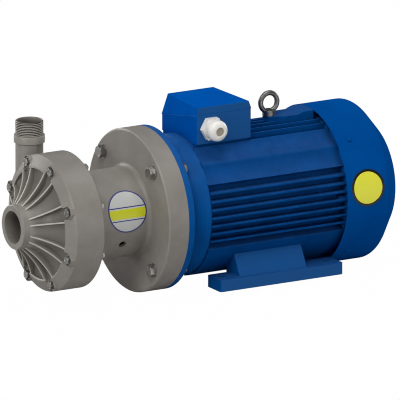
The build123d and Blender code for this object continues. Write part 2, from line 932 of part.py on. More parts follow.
def front_end_shield():
    """Motor flange with a flared neck behind it and the front bearing housing inside."""
    spigot_x = flange_x - flange_spigot_height
    outer = flange_d / 2
    rim_r = shield_rim_d / 2
    cone_end_x = flange_rear_x + shield_cone_length
    wall = 9.0
    web_x = flange_rear_x + shield_web - 8.0
    front_end_x = front_bearing_x + bearing_width
    shoulder_r = bearing_outer_r - 10.0
    seal_end_x = spigot_x + 1.0 + seal_width
    edge = 1.5
    shield = turned(
        (spigot_x, seal_outer_r),
        (spigot_x, flange_spigot_d / 2 - edge),
        (spigot_x + edge, flange_spigot_d / 2),
        (flange_x, flange_spigot_d / 2),
        (flange_x, outer),
        (flange_rear_x - edge, outer),
        (flange_rear_x, outer - edge),
        (flange_rear_x, shield_cone_start_d / 2),
        (cone_end_x, rim_r),
        (frame_x, rim_r),
        (frame_x, register_r - snug),
        (frame_x + register_depth, register_r - snug),
        (frame_x + register_depth, register_r - register_wall),
        (cone_end_x, register_r - register_wall),
        (web_x, shield_cone_start_d / 2 - 2 * wall),
        (web_x, bearing_boss_r),
        (front_end_x + 3.0, bearing_boss_r),
        (front_end_x + 3.0, bearing_outer_r + snug),
        (front_bearing_x, bearing_outer_r + snug),
        (front_bearing_x, shoulder_r),
        (seal_end_x, shoulder_r),
        (seal_end_x, seal_outer_r),
    )
    hole = rod(tie_hole_d / 2, flange_x - 1, flange_rear_x + 1)
    for piece in around(hole, tie_bolt_count, 45, flange_pcd / 2):
        shield -= piece
    return shield


lug_width = 26.0
lug_length = 16.0
cowl_screw_d = 6.0
cowl_screw_from_edge = 30.0
cowl_screw_head_r = 6.0
cowl_screw_head = 3.5
cowl_screw_length = 16.0
cowl_screw_x = cowl_x + cowl_screw_from_edge


def rear_end_shield():
    """Disc behind the frame with the rear bearing housing and four lugs for the cowl."""
    plate_end_x = frame_end_x + shield_web
    shield = turned(
        (rear_bearing_x - 3.0, bearing_outer_r + snug),
        (rear_bearing_x - 3.0, bearing_boss_r),
        (frame_end_x, bearing_boss_r),
        (frame_end_x, register_r - register_wall),
        (frame_end_x - register_depth, register_r - register_wall),
        (frame_end_x - register_depth, register_r - snug),
        (frame_end_x, register_r - snug),
        (frame_end_x, shield_rim_d / 2),
        (plate_end_x, shield_rim_d / 2),
        (plate_end_x, bearing_bore_r + 2.0),
        (frame_end_x, bearing_bore_r + 2.0),
        (frame_end_x, bearing_outer_r + snug),
    )
    lug_top = cowl_d / 2 - cowl_sheet - snug
    lug_start_x = min(plate_end_x, cowl_screw_x - lug_length / 2) - 2.0
    lug_end_x = cowl_screw_x + lug_length / 2
    lug = box_between(
        (lug_start_x, shield_rim_d / 2 - 14.0, -lug_width / 2), (lug_end_x, lug_top, lug_width / 2)
    ) & rod(lug_top, lug_start_x, lug_end_x)
    for piece in around(lug, 4, 45, 0):
        shield += piece
    screw_hole = Pos(cowl_screw_x, 0, 0) * Rot(X=-90) * Cylinder(cowl_screw_d / 2 + snug, 40.0)
    for piece in around(screw_hole, 4, 45, lug_top):
        shield -= piece
    frame_screw = rod(shield_screw_d / 2 + bolt_slack, frame_end_x - 1.0, plate_end_x + 1.0)
    for piece in around(frame_screw, 4, 0, shield_screw_r):
        shield -= piece
    return shield


def rear_shield_screws():
    """Socket screws from the fan side into the frame."""
    seat_x = frame_end_x + shield_web
    head = ring(seat_x, seat_x + shield_screw_d, shield_screw_d * 0.35, shield_screw_d * 0.8)
    screw = head + rod(shield_screw_d / 2, frame_end_x - 14.0, seat_x + shield_screw_d / 2)
    return around(screw, 4, 0, shield_screw_r)


# Finned frame: one pattern of straight fins and fluted corners on all four sides
fin_pitch = 17.2
fins_per_side = 7
fin_root = 6.0
fin_tip = 3.4
corner_angle = 27.2
flute_depth = 7.0
ridge_half_angle = 1.6
foot_screw_d = 12.0
foot_screw_head_d = 18.0
foot_screw_spacing = 120.0
foot_screw_inset = 36.0
foot_screw_offset = frame_d / 2 - foot_screw_inset
foot_screw_cover = 11.5
foot_screw_top = -(sqrt(root_r**2 - foot_screw_offset**2) + foot_screw_cover)
foot_screw_length = 55.0
box_length = 133.0
box_behind_frame_start = 7.0
box_half_depth = 75.0
box_sinking = 11.0
box_bottom = frame_d / 2 - box_sinking
box_x = frame_x + box_behind_frame_start
box_end_x = box_x + box_length
pad_half_width = 68.0
lead_hole_r = 22.0
platform_top = frame_d / 2 + 9.5
platform_half_width = 27.0
platform_nose_x = 52.0
platform_nose_half_width = 13.0
platform_full_x = 84.0
eye_bolt_x = 60.0
eye_bolt_d = 12.0
eye_shank = 20.0


def on_frame(radius, angle):
    return (radius * cos(radians(angle)), radius * sin(radians(angle)))


def upper_corner():
    """Smooth corner with two shallow flutes and a soft ridge between them."""
    crest = frame_d / 2
    valley = crest - flute_depth
    far_angle = 90 - corner_angle
    low_ridge = 45 - ridge_half_angle
    high_ridge = 45 + ridge_half_angle
    low = on_frame(crest, corner_angle)
    high = on_frame(crest, far_angle)
    ridge_low = on_frame(crest - 1.0, low_ridge)
    ridge_high = on_frame(crest - 1.0, high_ridge)
    inner_low = on_frame(root_r - 3.0, corner_angle)
    inner_high = on_frame(root_r - 3.0, far_angle)
    outline = [
        Line(inner_low, low),
        ThreePointArc(low, on_frame(valley, (corner_angle + low_ridge) / 2), ridge_low),
        ThreePointArc(ridge_low, on_frame(crest, 45), ridge_high),
        ThreePointArc(ridge_high, on_frame(valley, (far_angle + high_ridge) / 2), high),
        Line(high, inner_high),
        ThreePointArc(inner_high, on_frame(root_r - 3.0, 45), inner_low),
    ]
    return make_face(outline)


def lower_corner():
    """Plain corner, turned to the radius that the feet are bedded on."""
    crest = frame_d / 2
    far_angle = 90 - corner_angle
    outline = [
        Line(on_frame(root_r - 3.0, corner_angle), on_frame(crest, corner_angle)),
        ThreePointArc(
            on_frame(crest, corner_angle), on_frame(crest, 45), on_frame(crest, far_angle)
        ),
        Line(on_frame(crest, far_angle), on_frame(root_r - 3.0, far_angle)),
        ThreePointArc(
            on_frame(root_r - 3.0, far_angle),
            on_frame(root_r - 3.0, 45),
            on_frame(root_r - 3.0, corner_angle),
        ),
    ]
    return Rot(Z=-90) * make_face(outline)


def fin_row():
    """The parallel fins of one side, standing along the first axis of the section."""
    fins = []
    for i in range(fins_per_side):
        offset = (i - (fins_per_side - 1) / 2) * fin_pitch
        tip = sqrt((frame_d / 2) ** 2 - offset**2)
        base = root_r - 30.0
        fins.append(
            make_face(
                Polyline(
                    (base, offset - fin_root / 2),
                    (tip, offset - fin_tip / 2),
                    (tip, offset + fin_tip / 2),
                    (base, offset + fin_root / 2),
                    close=True,
                )
            )
        )
    return fins


def motor_frame():
    section = Circle(root_r)
    for quarter in range(4):
        for fin in fin_row():
            section += Rot(Z=90 * quarter) * fin
    for corner in (upper_corner(), lower_corner()):
        section += corner
        section += mirror(corner, Plane.YZ)
    section -= Circle(stator_outer_r + snug)
    body = extrude(Plane.YZ.offset(frame_x) * section, frame_length)
    body -= rod(register_r, frame_x, frame_x + register_depth + 2.0)
    body -= rod(register_r, frame_end_x - register_depth - 2.0, frame_end_x)
    body -= box_between(
        (frame_x - 1.0, -box_half_depth - 3.0, box_bottom),
        (box_end_x + 3.0, box_half_depth + 3.0, frame_d),
    )
    pad = box_between(
        (box_x, -pad_half_width, root_r - 8.0), (box_end_x - 4.0, pad_half_width, box_bottom)
    )
    front_zone = box_between(
        (frame_x - 1.0, -pad_half_width, 0), (box_x, pad_half_width, frame_d)
    )
    body -= front_zone - rod(shield_rim_d / 2, frame_x - 2.0, box_x + 1.0)
    front_band = rod(shield_rim_d / 2, frame_x, box_x - axial_play) & front_zone
    for piece in (pad, front_band, lifting_platform()):
        body += piece - rod(root_r - 2.0, frame_x - 2.0, frame_end_x)
    lead_hole = Pos((box_x + box_end_x) / 2, 0, root_r) * Cylinder(lead_hole_r, 40.0)
    body -= lead_hole
    eye_depth = eye_shank + 2.0
    eye_hole = Pos(eye_bolt_x, 0, platform_top - eye_depth / 2) * Cylinder(
        eye_bolt_d / 2 + snug, eye_depth
    )
    body -= eye_hole
    rear_screw = rod(shield_screw_d / 2 + snug, frame_end_x - 16.0, frame_end_x + 1.0)
    boss = rod(shield_screw_d, frame_end_x - 18.0, frame_end_x)
    for piece in around(boss, 4, 0, shield_screw_r):
        body += piece - rod(register_r, frame_end_x - 20.0, frame_end_x)
    for piece in around(rear_screw, 4, 0, shield_screw_r):
        body -= piece
    for x in (-foot_screw_spacing / 2, foot_screw_spacing / 2):
        for side in (-1, 1):
            depth = frame_d
            body -= Pos(x, side * foot_screw_offset, foot_screw_top + 1.0 - depth / 2) * Cylinder(
                foot_screw_d / 2 + snug, depth
            )
    return body


def lifting_platform():
    """Pad that widens behind the eye bolt and sweeps up until it is flush with the cowl."""
    rise_x = cowl_x - 42.0
    crest_x = cowl_x - 16.0
    top = cowl_d / 2
    end_x = cowl_x - 1.0
    low = root_r - 8.0
    middle = ((rise_x + crest_x) / 2, (platform_top + top) / 2)
    profile = [
        Line((platform_nose_x, low), (platform_nose_x, platform_top)),
        Line((platform_nose_x, platform_top), (rise_x, platform_top)),
        Spline((rise_x, platform_top), middle, (crest_x, top), tangents=((1, 0), (1, 0))),
        Line((crest_x, top), (end_x, top)),
        Line((end_x, top), (end_x, low)),
        Line((end_x, low), (platform_nose_x, low)),
    ]
    pad = extrude(Plane.XZ * make_face(profile), platform_half_width, both=True)
    plan = Polyline(
        (platform_nose_x, -platform_nose_half_width),
        (platform_full_x, -platform_half_width),
        (end_x, -platform_half_width),
        (end_x, platform_half_width),
        (platform_full_x, platform_half_width),
        (platform_nose_x, platform_nose_half_width),
        close=True,
    )
    pad &= extrude(make_face(plan), cowl_d)
    return pad & rod(cowl_d / 2 - axial_play, platform_nose_x, end_x)


# Feet, bolted under the lower corners of the frame
rail_beyond_holes = 23.0
rail_length = foot_holes_along + 2 * rail_beyond_holes
rail_inner_y = foot_holes_across / 2 - 25.0
rail_outer_y = foot_holes_across / 2 + 33.0
rail_height = 25.0
web_x = -97.0
web_end_x = 66.0
web_top_inset = 34.0
web_top_cover = 71.0
web_top = (frame_d / 2 - web_top_inset, shaft_height - (frame_d / 2 - web_top_cover))
web_foot = (rail_outer_y - 10.0, rail_height - 1.0)
web_inner_y = foot_screw_offset - 26.0
web_bedding = 12.0


def motor_foot(side):
    """Rail with two bolt holes and a sloping web that beds on the frame."""
    floor = -shaft_height
    rail = box_between(
        (-rail_length / 2, rail_inner_y, 0), (rail_length / 2, rail_outer_y, rail_height)
    )
    rail = fillet(rail.edges().filter_by(Axis.Z), 6.0)
    profile = Polyline(
        (web_inner_y, rail_height - web_bedding),
        (web_foot[0], rail_height - web_bedding),
        web_foot,
        web_top,
        (web_inner_y, web_top[1]),
        close=True,
    )
    web = extrude(Plane.YZ.offset(web_x) * make_face(profile), web_end_x - web_x)
    foot = Pos(0, 0, floor) * (rail + web)
    foot -= rod(frame_d / 2 + snug, -rail_length, rail_length)
    hole_y = foot_holes_across / 2
    for x in (-foot_holes_along / 2, foot_holes_along / 2):
        foot -= Pos(x, hole_y, floor) * Cylinder(foot_hole_d / 2, 3 * rail_height)
    head_top = foot_screw_top - foot_screw_length
    for x in (-foot_screw_spacing / 2, foot_screw_spacing / 2):
        foot -= Pos(x, foot_screw_offset, floor / 2) * Cylinder(
            foot_screw_d / 2 + bolt_slack, -floor
        )
        counterbore = head_top - floor
        foot -= Pos(x, foot_screw_offset, floor + counterbore / 2) * Cylinder(
            foot_screw_head_d / 2 + 1.0, counterbore
        )
    return foot if side > 0 else mirror(foot, Plane.XZ)


def foot_screws():
    """Socket screws that go up through the feet into the frame."""
    head_top = foot_screw_top - foot_screw_length
    socket = Pos(0, 0, head_top - foot_screw_d) * Cylinder(foot_screw_d * 0.35, foot_screw_d)
    shank = Pos(0, 0, foot_screw_top - foot_screw_length / 2) * Cylinder(
        foot_screw_d / 2, foot_screw_length
    )
    head = Pos(0, 0, head_top - foot_screw_d / 2) * Cylinder(foot_screw_head_d / 2, foot_screw_d)
    screw = shank + head - socket
    return [
        Pos(x, side * foot_screw_offset, 0) * screw
        for x in (-foot_screw_spacing / 2, foot_screw_spacing / 2)
        for side in (-1, 1)
    ]


# Fan and cowl
fan_r = cowl_d / 2 - 39.0
fan_blade_count = 8
fan_blade = 4.0
fan_plate = 4.0
fan_hub_r = 30.0
grille_rings = 6
grille_slot = 6.0
grille_pitch = 14.0
grille_inner_r = 26.0
grille_spokes = 6
grille_spoke_width = 8.0
cowl_bend = 12.0


def cooling_fan():
    plate_end_x = fan_hub_x + fan_hub_length - 4.0
    plate_x = plate_end_x - fan_plate
    blade_x = fan_hub_x - 8.0
    fan = turned(
        (fan_hub_x, fan_seat_r + snug),
        (fan_hub_x, fan_hub_r - 2.0),
        (plate_x - 4.0, fan_hub_r),
        (plate_x, fan_hub_r + 4.0),
        (plate_x, fan_r * 0.8),
        (plate_end_x, fan_r * 0.8),
        (plate_end_x, fan_hub_r),
        (fan_hub_x + fan_hub_length, fan_hub_r),
        (fan_hub_x + fan_hub_length, fan_seat_r + snug),
    )
    outline = Polyline(
        (plate_x + 1.0, fan_hub_r - 3.0),
        (fan_hub_x + 6.0, fan_hub_r - 3.0),
        (blade_x + 4.0, fan_hub_r + 22.0),
        (blade_x, fan_r),
        (plate_x - 8.0, fan_r),
        (plate_x + 1.0, fan_r * 0.8),
        close=True,
    )
    blade = extrude(make_face(outline), fan_blade / 2, both=True)
    for piece in around(blade, fan_blade_count, 0, 0):
        fan += piece
    return fan


def fan_circlip():
    start_x = circlip_groove_x + snug / 2
    return ring(start_x, start_x + circlip_width, fan_seat_r - 1 + snug, circlip_r)


def cowl_form(inset):
    """Drum with a conical back, drawn in by an inset for the inner side of the sheet."""
    slope = atan2((cowl_d - cowl_back_d) / 2, cowl_cone_length)
    radius = cowl_d / 2 - inset
    cone_x = cowl_end_x - cowl_cone_length - inset * tan(slope / 2)
    back_x = cowl_end_x - inset
    back_r = cowl_back_d / 2 - inset * tan(pi / 4 - slope / 2)
    form = turned((cowl_x, 0), (cowl_x, radius), (cone_x, radius), (back_x, back_r), (back_x, 0))
    rims = form.edges().filter_by(GeomType.CIRCLE).sort_by(Axis.X)[-2:]
    return fillet(rims, cowl_bend - inset)


def fan_cowl():
    """Pressed sheet cover with a conical back and a ring grille."""
    outer_r = cowl_d / 2
    cowl = cowl_form(0) - cowl_form(cowl_sheet)
    slots = Sketch()
    for i in range(grille_rings):
        inner = grille_inner_r + grille_pitch * i
        slots += Circle(inner + grille_slot) - Circle(inner)
    for i in range(grille_spokes):
        slots -= Rot(Z=360 / grille_spokes * i) * Pos(grille_inner_r * 4, 0) * Rectangle(
            grille_inner_r * 8, grille_spoke_width
        )
    cowl -= extrude(Plane.YZ.offset(cowl_end_x - 2 * cowl_sheet) * slots, 3 * cowl_sheet)
    screw_hole = Pos(cowl_screw_x, 0, 0) * Rot(X=-90) * Cylinder(cowl_screw_d / 2 + snug, 20.0)
    for piece in around(screw_hole, 4, 45, outer_r):
        cowl -= piece
    return cowl


def cowl_screws():
    """Pan-head screws through the cowl into the lugs of the rear end shield."""
    seat_r = cowl_d / 2
    shank = Pos(0, 0, -cowl_screw_length / 2) * Cylinder(cowl_screw_d / 2, cowl_screw_length)
    head = Pos(0, 0, cowl_screw_head / 2) * Cylinder(cowl_screw_head_r, cowl_screw_head)
    head = fillet(head.edges().sort_by(Axis.Z)[-1], cowl_screw_head * 0.6)
    screw = Pos(cowl_screw_x, 0, 0) * Rot(X=-90) * (head + shank)
    return around(screw, 4, 45, seat_r)


# Terminal box on the pad, with a lid whose joint falls away from the gland side
box_wall = 4.0
box_floor = 5.0
box_height = 81.0
box_top = box_bottom + box_height
belt_near_height = 63.0
belt_near = box_bottom + belt_near_height
belt_far_height = 34.0
belt_far = box_bottom + belt_far_height
lid_lean_front = 4.0
lid_lean_rear = 7.0
lid_far_inset = 11.0
lid_far_taper = 5.5
gasket_thickness = 0.6
gland_x = -125.0
gland_height = 33.0
gland_z = box_bottom + gland_height
gland_thread_r = 20.0


def belt_height(y):
    share = (y + box_half_depth) / (2 * box_half_depth)
    return belt_near + (belt_far - belt_near) * share


def belt_plane_tool(lift):
    """Large block above the sloping joint, moved up by a given amount."""
    reach = 4 * box_half_depth
    low, high = -2 * box_half_depth, 2 * box_half_depth
    outline = Polyline(
        (low, belt_height(low) + lift),
        (high, belt_height(high) + lift),
        (high, reach),
        (low, reach),
        close=True,
    )
    return extrude(Plane.YZ.offset(box_x - 20.0) * make_face(outline), box_length + 40.0)


def terminal_box():
    outer = box_between((box_x, -box_half_depth, box_bottom), (box_end_x, box_half_depth, box_top))
    outer = fillet(outer.edges().filter_by(Axis.Z), 4.0)
    inner = box_between(
        (box_x + box_wall, -box_half_depth + box_wall, box_bottom + box_floor),
        (box_end_x - box_wall, box_half_depth - box_wall, box_top + 1.0),
    )
    box = outer - inner - belt_plane_tool(0)
    lead_hole = Pos((box_x + box_end_x) / 2, 0, box_bottom) * Cylinder(lead_hole_r, 4 * box_floor)
    gland_hole = Pos(gland_x, -box_half_depth, gland_z) * Rot(X=90) * Cylinder(
        gland_thread_r + snug, 4 * box_wall
    )
    return box - lead_hole - gland_hole


def lid_block(inset, drop):
    """Faceted block of the lid, drawn in by an inset on every side."""
    lean_front = lid_lean_front + inset
    lean_rear = lid_lean_rear + inset
    near_y = -box_half_depth + inset
    far_y = box_half_depth - inset
    foot = [
        (box_x + inset, near_y, belt_height(near_y) - drop),
        (box_end_x - inset, near_y, belt_height(near_y) - drop),
        (box_end_x - inset, far_y, belt_height(far_y) - drop),
        (box_x + inset, far_y, belt_height(far_y) - drop),
    ]
    crown = [
        (box_x + lean_front, near_y, box_top - inset),
        (box_end_x - lean_rear, near_y, box_top - inset),
        (box_end_x - lean_rear - lid_far_taper, far_y - lid_far_inset, box_top - inset),
        (box_x + lean_front + lid_far_taper, far_y - lid_far_inset, box_top - inset),
    ]
    faces = [Face(Wire.make_polygon(points)) for points in (foot, crown)]
    return loft(faces, ruled=True)


def terminal_lid():
    block = lid_block(0, 0)
    block = fillet(block.edges().sort_by(Axis.Z)[-4:], 2.5)
    lid = block - lid_block(box_wall, 10.0)
    return lid & belt_plane_tool(gasket_thickness)


def lid_gasket():
    rim = box_between((box_x, -box_half_depth, box_bottom), (box_end_x, box_half_depth, box_top))
    rim = fillet(rim.edges().filter_by(Axis.Z), 4.0)
    hollow = box_between(
        (box_x + box_wall, -box_half_depth + box_wall, box_bottom),
        (box_end_x - box_wall, box_half_depth - box_wall, box_top),
    )
    return ((rim - hollow) & belt_plane_tool(0)) - belt_plane_tool(gasket_thickness)


board_length = 90.0
board_width = 56.0
board_height = 18.0
stud_d = 6.0
stud_pitch = 26.0
stud_row_gap = 26.0
stud_height = 16.0


def stud_places():
    middle_x = (box_x + box_end_x) / 2
    row_y = 32.0
    return [
        (middle_x + stud_pitch * i, row_y + stud_row_gap / 2 * side)
        for i in (-1, 0, 1)
        for side in (-1, 1)
    ]


def terminal_board():
    middle_x = (box_x + box_end_x) / 2
    bottom = box_bottom + box_floor
    board = box_between(
        (middle_x - board_length / 2, 32.0 - board_width / 2, bottom),
        (middle_x + board_length / 2, 32.0 + board_width / 2 - 8.0, bottom + board_height),
    )
    board -= Pos(middle_x, 0, bottom) * Cylinder(lead_hole_r, 4 * board_height)
    for x, y in stud_places():
        board -= Pos(x, y, bottom + board_height) * Cylinder(stud_d / 2 + snug, board_height)
    return board


def terminal_studs():
    base = box_bottom + box_floor + board_height / 2
    length = board_height / 2 + stud_height
    stud = Cylinder(stud_d / 2, length) + Pos(0, 0, board_height / 2 + 2.5 - length / 2) * extrude(
        RegularPolygon(5.0, 6, major_radius=False), 5.0
    )
    return [Pos(x, y, base + length / 2) * stud for x, y in stud_places()]


# Cable gland, M40 size, with a closed sealing insert
gland_flats = 46.0
gland_hex = 12.0
gland_cap_r = 22.5
gland_cap_length = 28.0
gland_seal_r = 9.5
locknut_flats = 48.0
locknut_height = 6.0
gland_dome = 14.0


def on_gland(shape):
    """Moves a shape drawn along Z so that it points out of the gland wall."""
    return Pos(gland_x, -box_half_depth, gland_z) * Rot(X=90) * shape


def cable_gland_body():
    hexagon_part = extrude(RegularPolygon(gland_flats / 2, 6, major_radius=False), gland_hex)
    thread_length = box_wall + locknut_height + 2.0
    thread = Pos(0, 0, -thread_length / 2) * Cylinder(gland_thread_r, thread_length)
    bore_r = gland_thread_r - 4.0
    bore = Pos(0, 0, (gland_hex - thread_length) / 2) * Cylinder(bore_r, thread_length + gland_hex)
    return on_gland(hexagon_part + thread - bore)


def cable_gland_cap():
    """Domed union nut that closes on the sealing insert."""
    nose = gland_seal_r + 2.0
    dome_z = gland_hex + gland_cap_length - gland_dome
    end_z = gland_hex + gland_cap_length
    outline = [
        Line((gland_seal_r + snug, gland_hex), (gland_cap_r, gland_hex)),
        Line((gland_cap_r, gland_hex), (gland_cap_r, dome_z)),
        ThreePointArc(
            (gland_cap_r, dome_z),
            (nose + (gland_cap_r - nose) * 0.78, dome_z + gland_dome * 0.66),
            (nose, end_z),
        ),
        Line((nose, end_z), (gland_seal_r + snug, end_z)),
        Line((gland_seal_r + snug, end_z), (gland_seal_r + snug, gland_hex)),
    ]
    return on_gland(revolve(Plane.XZ * make_face(outline), Axis.Z))


def cable_gland_seal():
    length = gland_cap_length - 1.5
    return on_gland(Pos(0, 0, gland_hex + length / 2) * Cylinder(gland_seal_r, length))


def cable_gland_locknut():
    nut = extrude(RegularPolygon(locknut_flats / 2, 6, major_radius=False), locknut_height)
    nut -= Cylinder(gland_thread_r + snug, 4 * locknut_height)
    return on_gland(Pos(0, 0, -box_wall - locknut_height) * nut)


# Lifting eye bolt
eye_outer_d = 51.0
eye_inner_d = 29.0
eye_height = 54.0
eye_collar_r = 14.0
eye_collar = 12.0


def lifting_eye_bolt():
    bar_r = (eye_outer_d - eye_inner_d) / 4
    middle_r = (eye_outer_d + eye_inner_d) / 4
    centre = eye_height - eye_outer_d / 2
    loop = Pos(0, 0, centre) * Rot(X=90) * Torus(middle_r, bar_r)
    loop -= Pos(0, 0, -eye_collar) * Box(eye_outer_d, eye_outer_d, 2 * eye_collar)
    collar = Pos(0, 0, eye_collar / 2) * Cylinder(eye_collar_r, eye_collar)
    neck_top = centre - eye_inner_d / 2 - 0.5
    neck = Pos(0, 0, eye_collar + (neck_top - eye_collar) / 2) * Cone(
        eye_collar_r, bar_r + 3.0, neck_top - eye_collar
    )
    shank = Pos(0, 0, -eye_shank / 2) * Cylinder(eye_bolt_d / 2, eye_shank)
    eye = loop + collar + neck + shank
    return Pos(eye_bolt_x, 0, platform_top) * eye


os.makedirs("parts", exist_ok=True)

nodes = {
    "volute_casing": casing(),
    "discharge_nipple": discharge_nipple(),
    "casing_bolts": casing_bolts(),
    "casing_washers": casing_washers(),
    "casing_nuts": casing_nuts(),
    "casing_o_ring": casing_o_ring(),
    "impeller_wear_ring": impeller_wear_ring(),
    "isolation_shell": isolation_shell(),
    "ceramic_spindle": ceramic_spindle(),
    "front_thrust_ring": front_thrust_ring(),
    "rear_thrust_ring": rear_thrust_ring(),
    "impeller": impeller(),
    "front_bush": front_bush(),
    "rear_bush": rear_bush(),
    "inner_magnet_carrier": inner_magnet_carrier(),
    "inner_magnets": inner_magnets(),
    "inner_magnet_sleeve": inner_magnet_sleeve(),
    "outer_magnet_bell": outer_magnet_bell(),
    "outer_magnets": outer_magnets(),
    "shaft_key": shaft_key(),
    "bell_retaining_washer": bell_retaining_washer(),
    "bell_retaining_screw": bell_retaining_screw(),
    "lantern": lantern(),
    "lantern_bolts": lantern_bolts(),
    "lantern_washers": lantern_washers(),
    "lantern_nuts": lantern_nuts(),
    "motor_shaft": motor_shaft(),
    "front_bearing_outer_ring": bearing_outer_ring(front_bearing_x),
    "front_bearing_inner_ring": bearing_inner_ring(front_bearing_x),
    "front_bearing_balls": bearing_balls(front_bearing_x),
    "rear_bearing_outer_ring": bearing_outer_ring(rear_bearing_x),
    "rear_bearing_inner_ring": bearing_inner_ring(rear_bearing_x),
    "rear_bearing_balls": bearing_balls(rear_bearing_x),
    "shaft_seal": shaft_seal(),
    "bearing_preload_spring": bearing_preload_spring(),
    "stator_core": stator_core(),
    "stator_windings": stator_windings(),
    "rotor_core": rotor_core(),
    "front_end_shield": front_end_shield(),
    "rear_end_shield": rear_end_shield(),
    "rear_shield_screws": rear_shield_screws(),
    "motor_frame": motor_frame(),
    "motor_foot_left": motor_foot(-1),
    "motor_foot_right": motor_foot(1),
    "foot_screws": foot_screws(),
    "cooling_fan": cooling_fan(),
    "fan_circlip": fan_circlip(),
    "fan_cowl": fan_cowl(),
    "cowl_screws": cowl_screws(),
    "terminal_box": terminal_box(),
    "terminal_lid": terminal_lid(),
    "lid_gasket": lid_gasket(),
    "terminal_board": terminal_board(),
    "terminal_studs": terminal_studs(),
    "cable_gland_body": cable_gland_body(),
    "cable_gland_cap": cable_gland_cap(),
    "cable_gland_seal": cable_gland_seal(),
    "cable_gland_locknut": cable_gland_locknut(),
    "lifting_eye_bolt": lifting_eye_bolt(),
}

for name, shape in nodes.items():
    save(name, shape)
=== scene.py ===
"""Finish of a magnetic-drive chemical pump: materials, threads, bolts, round labels and studio."""

import json
from math import atan2, ceil, cos, hypot, radians, sin, tau

import bmesh
import bpy
from mathutils import Matrix, Vector


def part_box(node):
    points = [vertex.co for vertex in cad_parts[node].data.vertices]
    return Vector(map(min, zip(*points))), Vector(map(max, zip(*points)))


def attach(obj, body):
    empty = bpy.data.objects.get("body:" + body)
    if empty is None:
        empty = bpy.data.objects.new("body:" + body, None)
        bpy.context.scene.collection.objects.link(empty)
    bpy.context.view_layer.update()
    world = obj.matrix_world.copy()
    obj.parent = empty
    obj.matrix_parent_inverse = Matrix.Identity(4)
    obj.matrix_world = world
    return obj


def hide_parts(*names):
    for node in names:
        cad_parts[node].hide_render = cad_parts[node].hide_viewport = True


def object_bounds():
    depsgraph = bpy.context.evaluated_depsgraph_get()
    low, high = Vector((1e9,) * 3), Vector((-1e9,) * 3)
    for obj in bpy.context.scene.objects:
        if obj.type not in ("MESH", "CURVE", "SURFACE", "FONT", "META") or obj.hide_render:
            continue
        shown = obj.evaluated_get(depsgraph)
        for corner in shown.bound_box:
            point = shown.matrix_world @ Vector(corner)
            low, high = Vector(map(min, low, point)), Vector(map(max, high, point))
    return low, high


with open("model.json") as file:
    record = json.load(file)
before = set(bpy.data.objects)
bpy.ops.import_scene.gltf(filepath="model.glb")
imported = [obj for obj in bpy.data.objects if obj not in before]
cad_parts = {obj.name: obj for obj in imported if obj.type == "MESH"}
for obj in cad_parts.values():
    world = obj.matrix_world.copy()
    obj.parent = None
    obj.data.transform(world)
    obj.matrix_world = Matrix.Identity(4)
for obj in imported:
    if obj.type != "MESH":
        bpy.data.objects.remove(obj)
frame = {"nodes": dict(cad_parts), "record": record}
cad_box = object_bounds()

# Sizes in metres, in the frame of the part: X along the shaft, Z up
shaft_height = frame["record"]["mounts"][2]["pos_m"][2]
neck_radius = 0.095
cowl_radius = (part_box("fan_cowl")[1][1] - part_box("fan_cowl")[0][1]) / 2

# Discharge nozzle, its thread and its collar
thread_radius = 0.0298
thread_depth = 0.0020
thread_pitch = 0.00364
thread_length = 0.0305
thread_chamfer = 0.0016
thread_relief_depth = 0.0004
thread_relief_length = 0.0006
nozzle_bore = 0.0263
nozzle_mouth_edge = 0.0008
nozzle_neck = 0.0295
collar_edge = 0.0015
collar_underside = 0.002

# Round labels
foil_thickness = 0.0004
foil_lift = 0.0001
neck_label_radius = 0.046
neck_label_x = -0.337
neck_label_turn = 16.0
cowl_label_radius = 0.040
cowl_label_x = 0.205
cowl_label_turn = 8.0

# Arc that the rib crests follow from the suction ring to the rim
rib_arc_x = -0.6652
rib_arc_r = 0.1703
rib_arc_radius = 0.1697

# Masks of the painted highlights and painted shade on the casing and the nozzle, each from where it
# starts to where it is full
suction_ring_edge = (0.0480, 0.0495)
casing_rim_edge = (0.1215, 0.1195)
rib_crest_band = (0.0016, 0.0004)
rib_valley_band = (0.0010, 0.0095)
suction_wall = (0.0364, 0.0356)
suction_shade = (0.001, 0.030)
thread_foot_band = (0.0002, 0.0008)
thread_crest_band = (0.0007, 0.0002)
thread_groove_band = (0.0003, thread_depth * 0.75)
nozzle_wall = (0.0269, 0.0265)
nozzle_shade = (0.001, 0.012)

# Hexagon bolts, with the shank and the circle as radii and the start as an angle in degrees
BOLTS = {
    "casing_bolts": {
        "shank": 0.005,
        "flats": 0.016,
        "head": 0.0064,
        "pitch": 0.0015,
        "threaded": 0.009,
        "circle": 0.1325,
        "count": 8,
        "start": 22.5,
    },
    "lantern_bolts": {
        "shank": 0.008,
        "flats": 0.024,
        "head": 0.010,
        "pitch": 0.002,
        "threaded": 0.013,
        "circle": 0.150,
        "count": 4,
        "start": 45.0,
    },
}

# Camera, with its angles in degrees and its lens in millimetres
camera_target = (-0.1081, 0.0, 0.1596)
camera_turn = -30.0
camera_rise = 14.8
camera_distance = 37.6
camera_lens = 1600.0

# Finish that each node asks for
SLOTS = {part["node"]: part["material_slot"] for part in frame["record"]["subparts"]}


# Node trees
def linear(red, green, blue):
    """Colour for a shader socket from the 0 to 255 values that a screen shows."""

    def one(value):
        share = value / 255
        return share / 12.92 if share <= 0.04045 else ((share + 0.055) / 1.055) ** 2.4

    return (one(red), one(green), one(blue), 1.0)


def add(tree, kind, **inputs):
    """New shader node with some of its input sockets set by name."""
    node = tree.nodes.new(kind)
    for name, value in inputs.items():
        node.inputs[name.replace("_", " ")].default_value = value
    return node


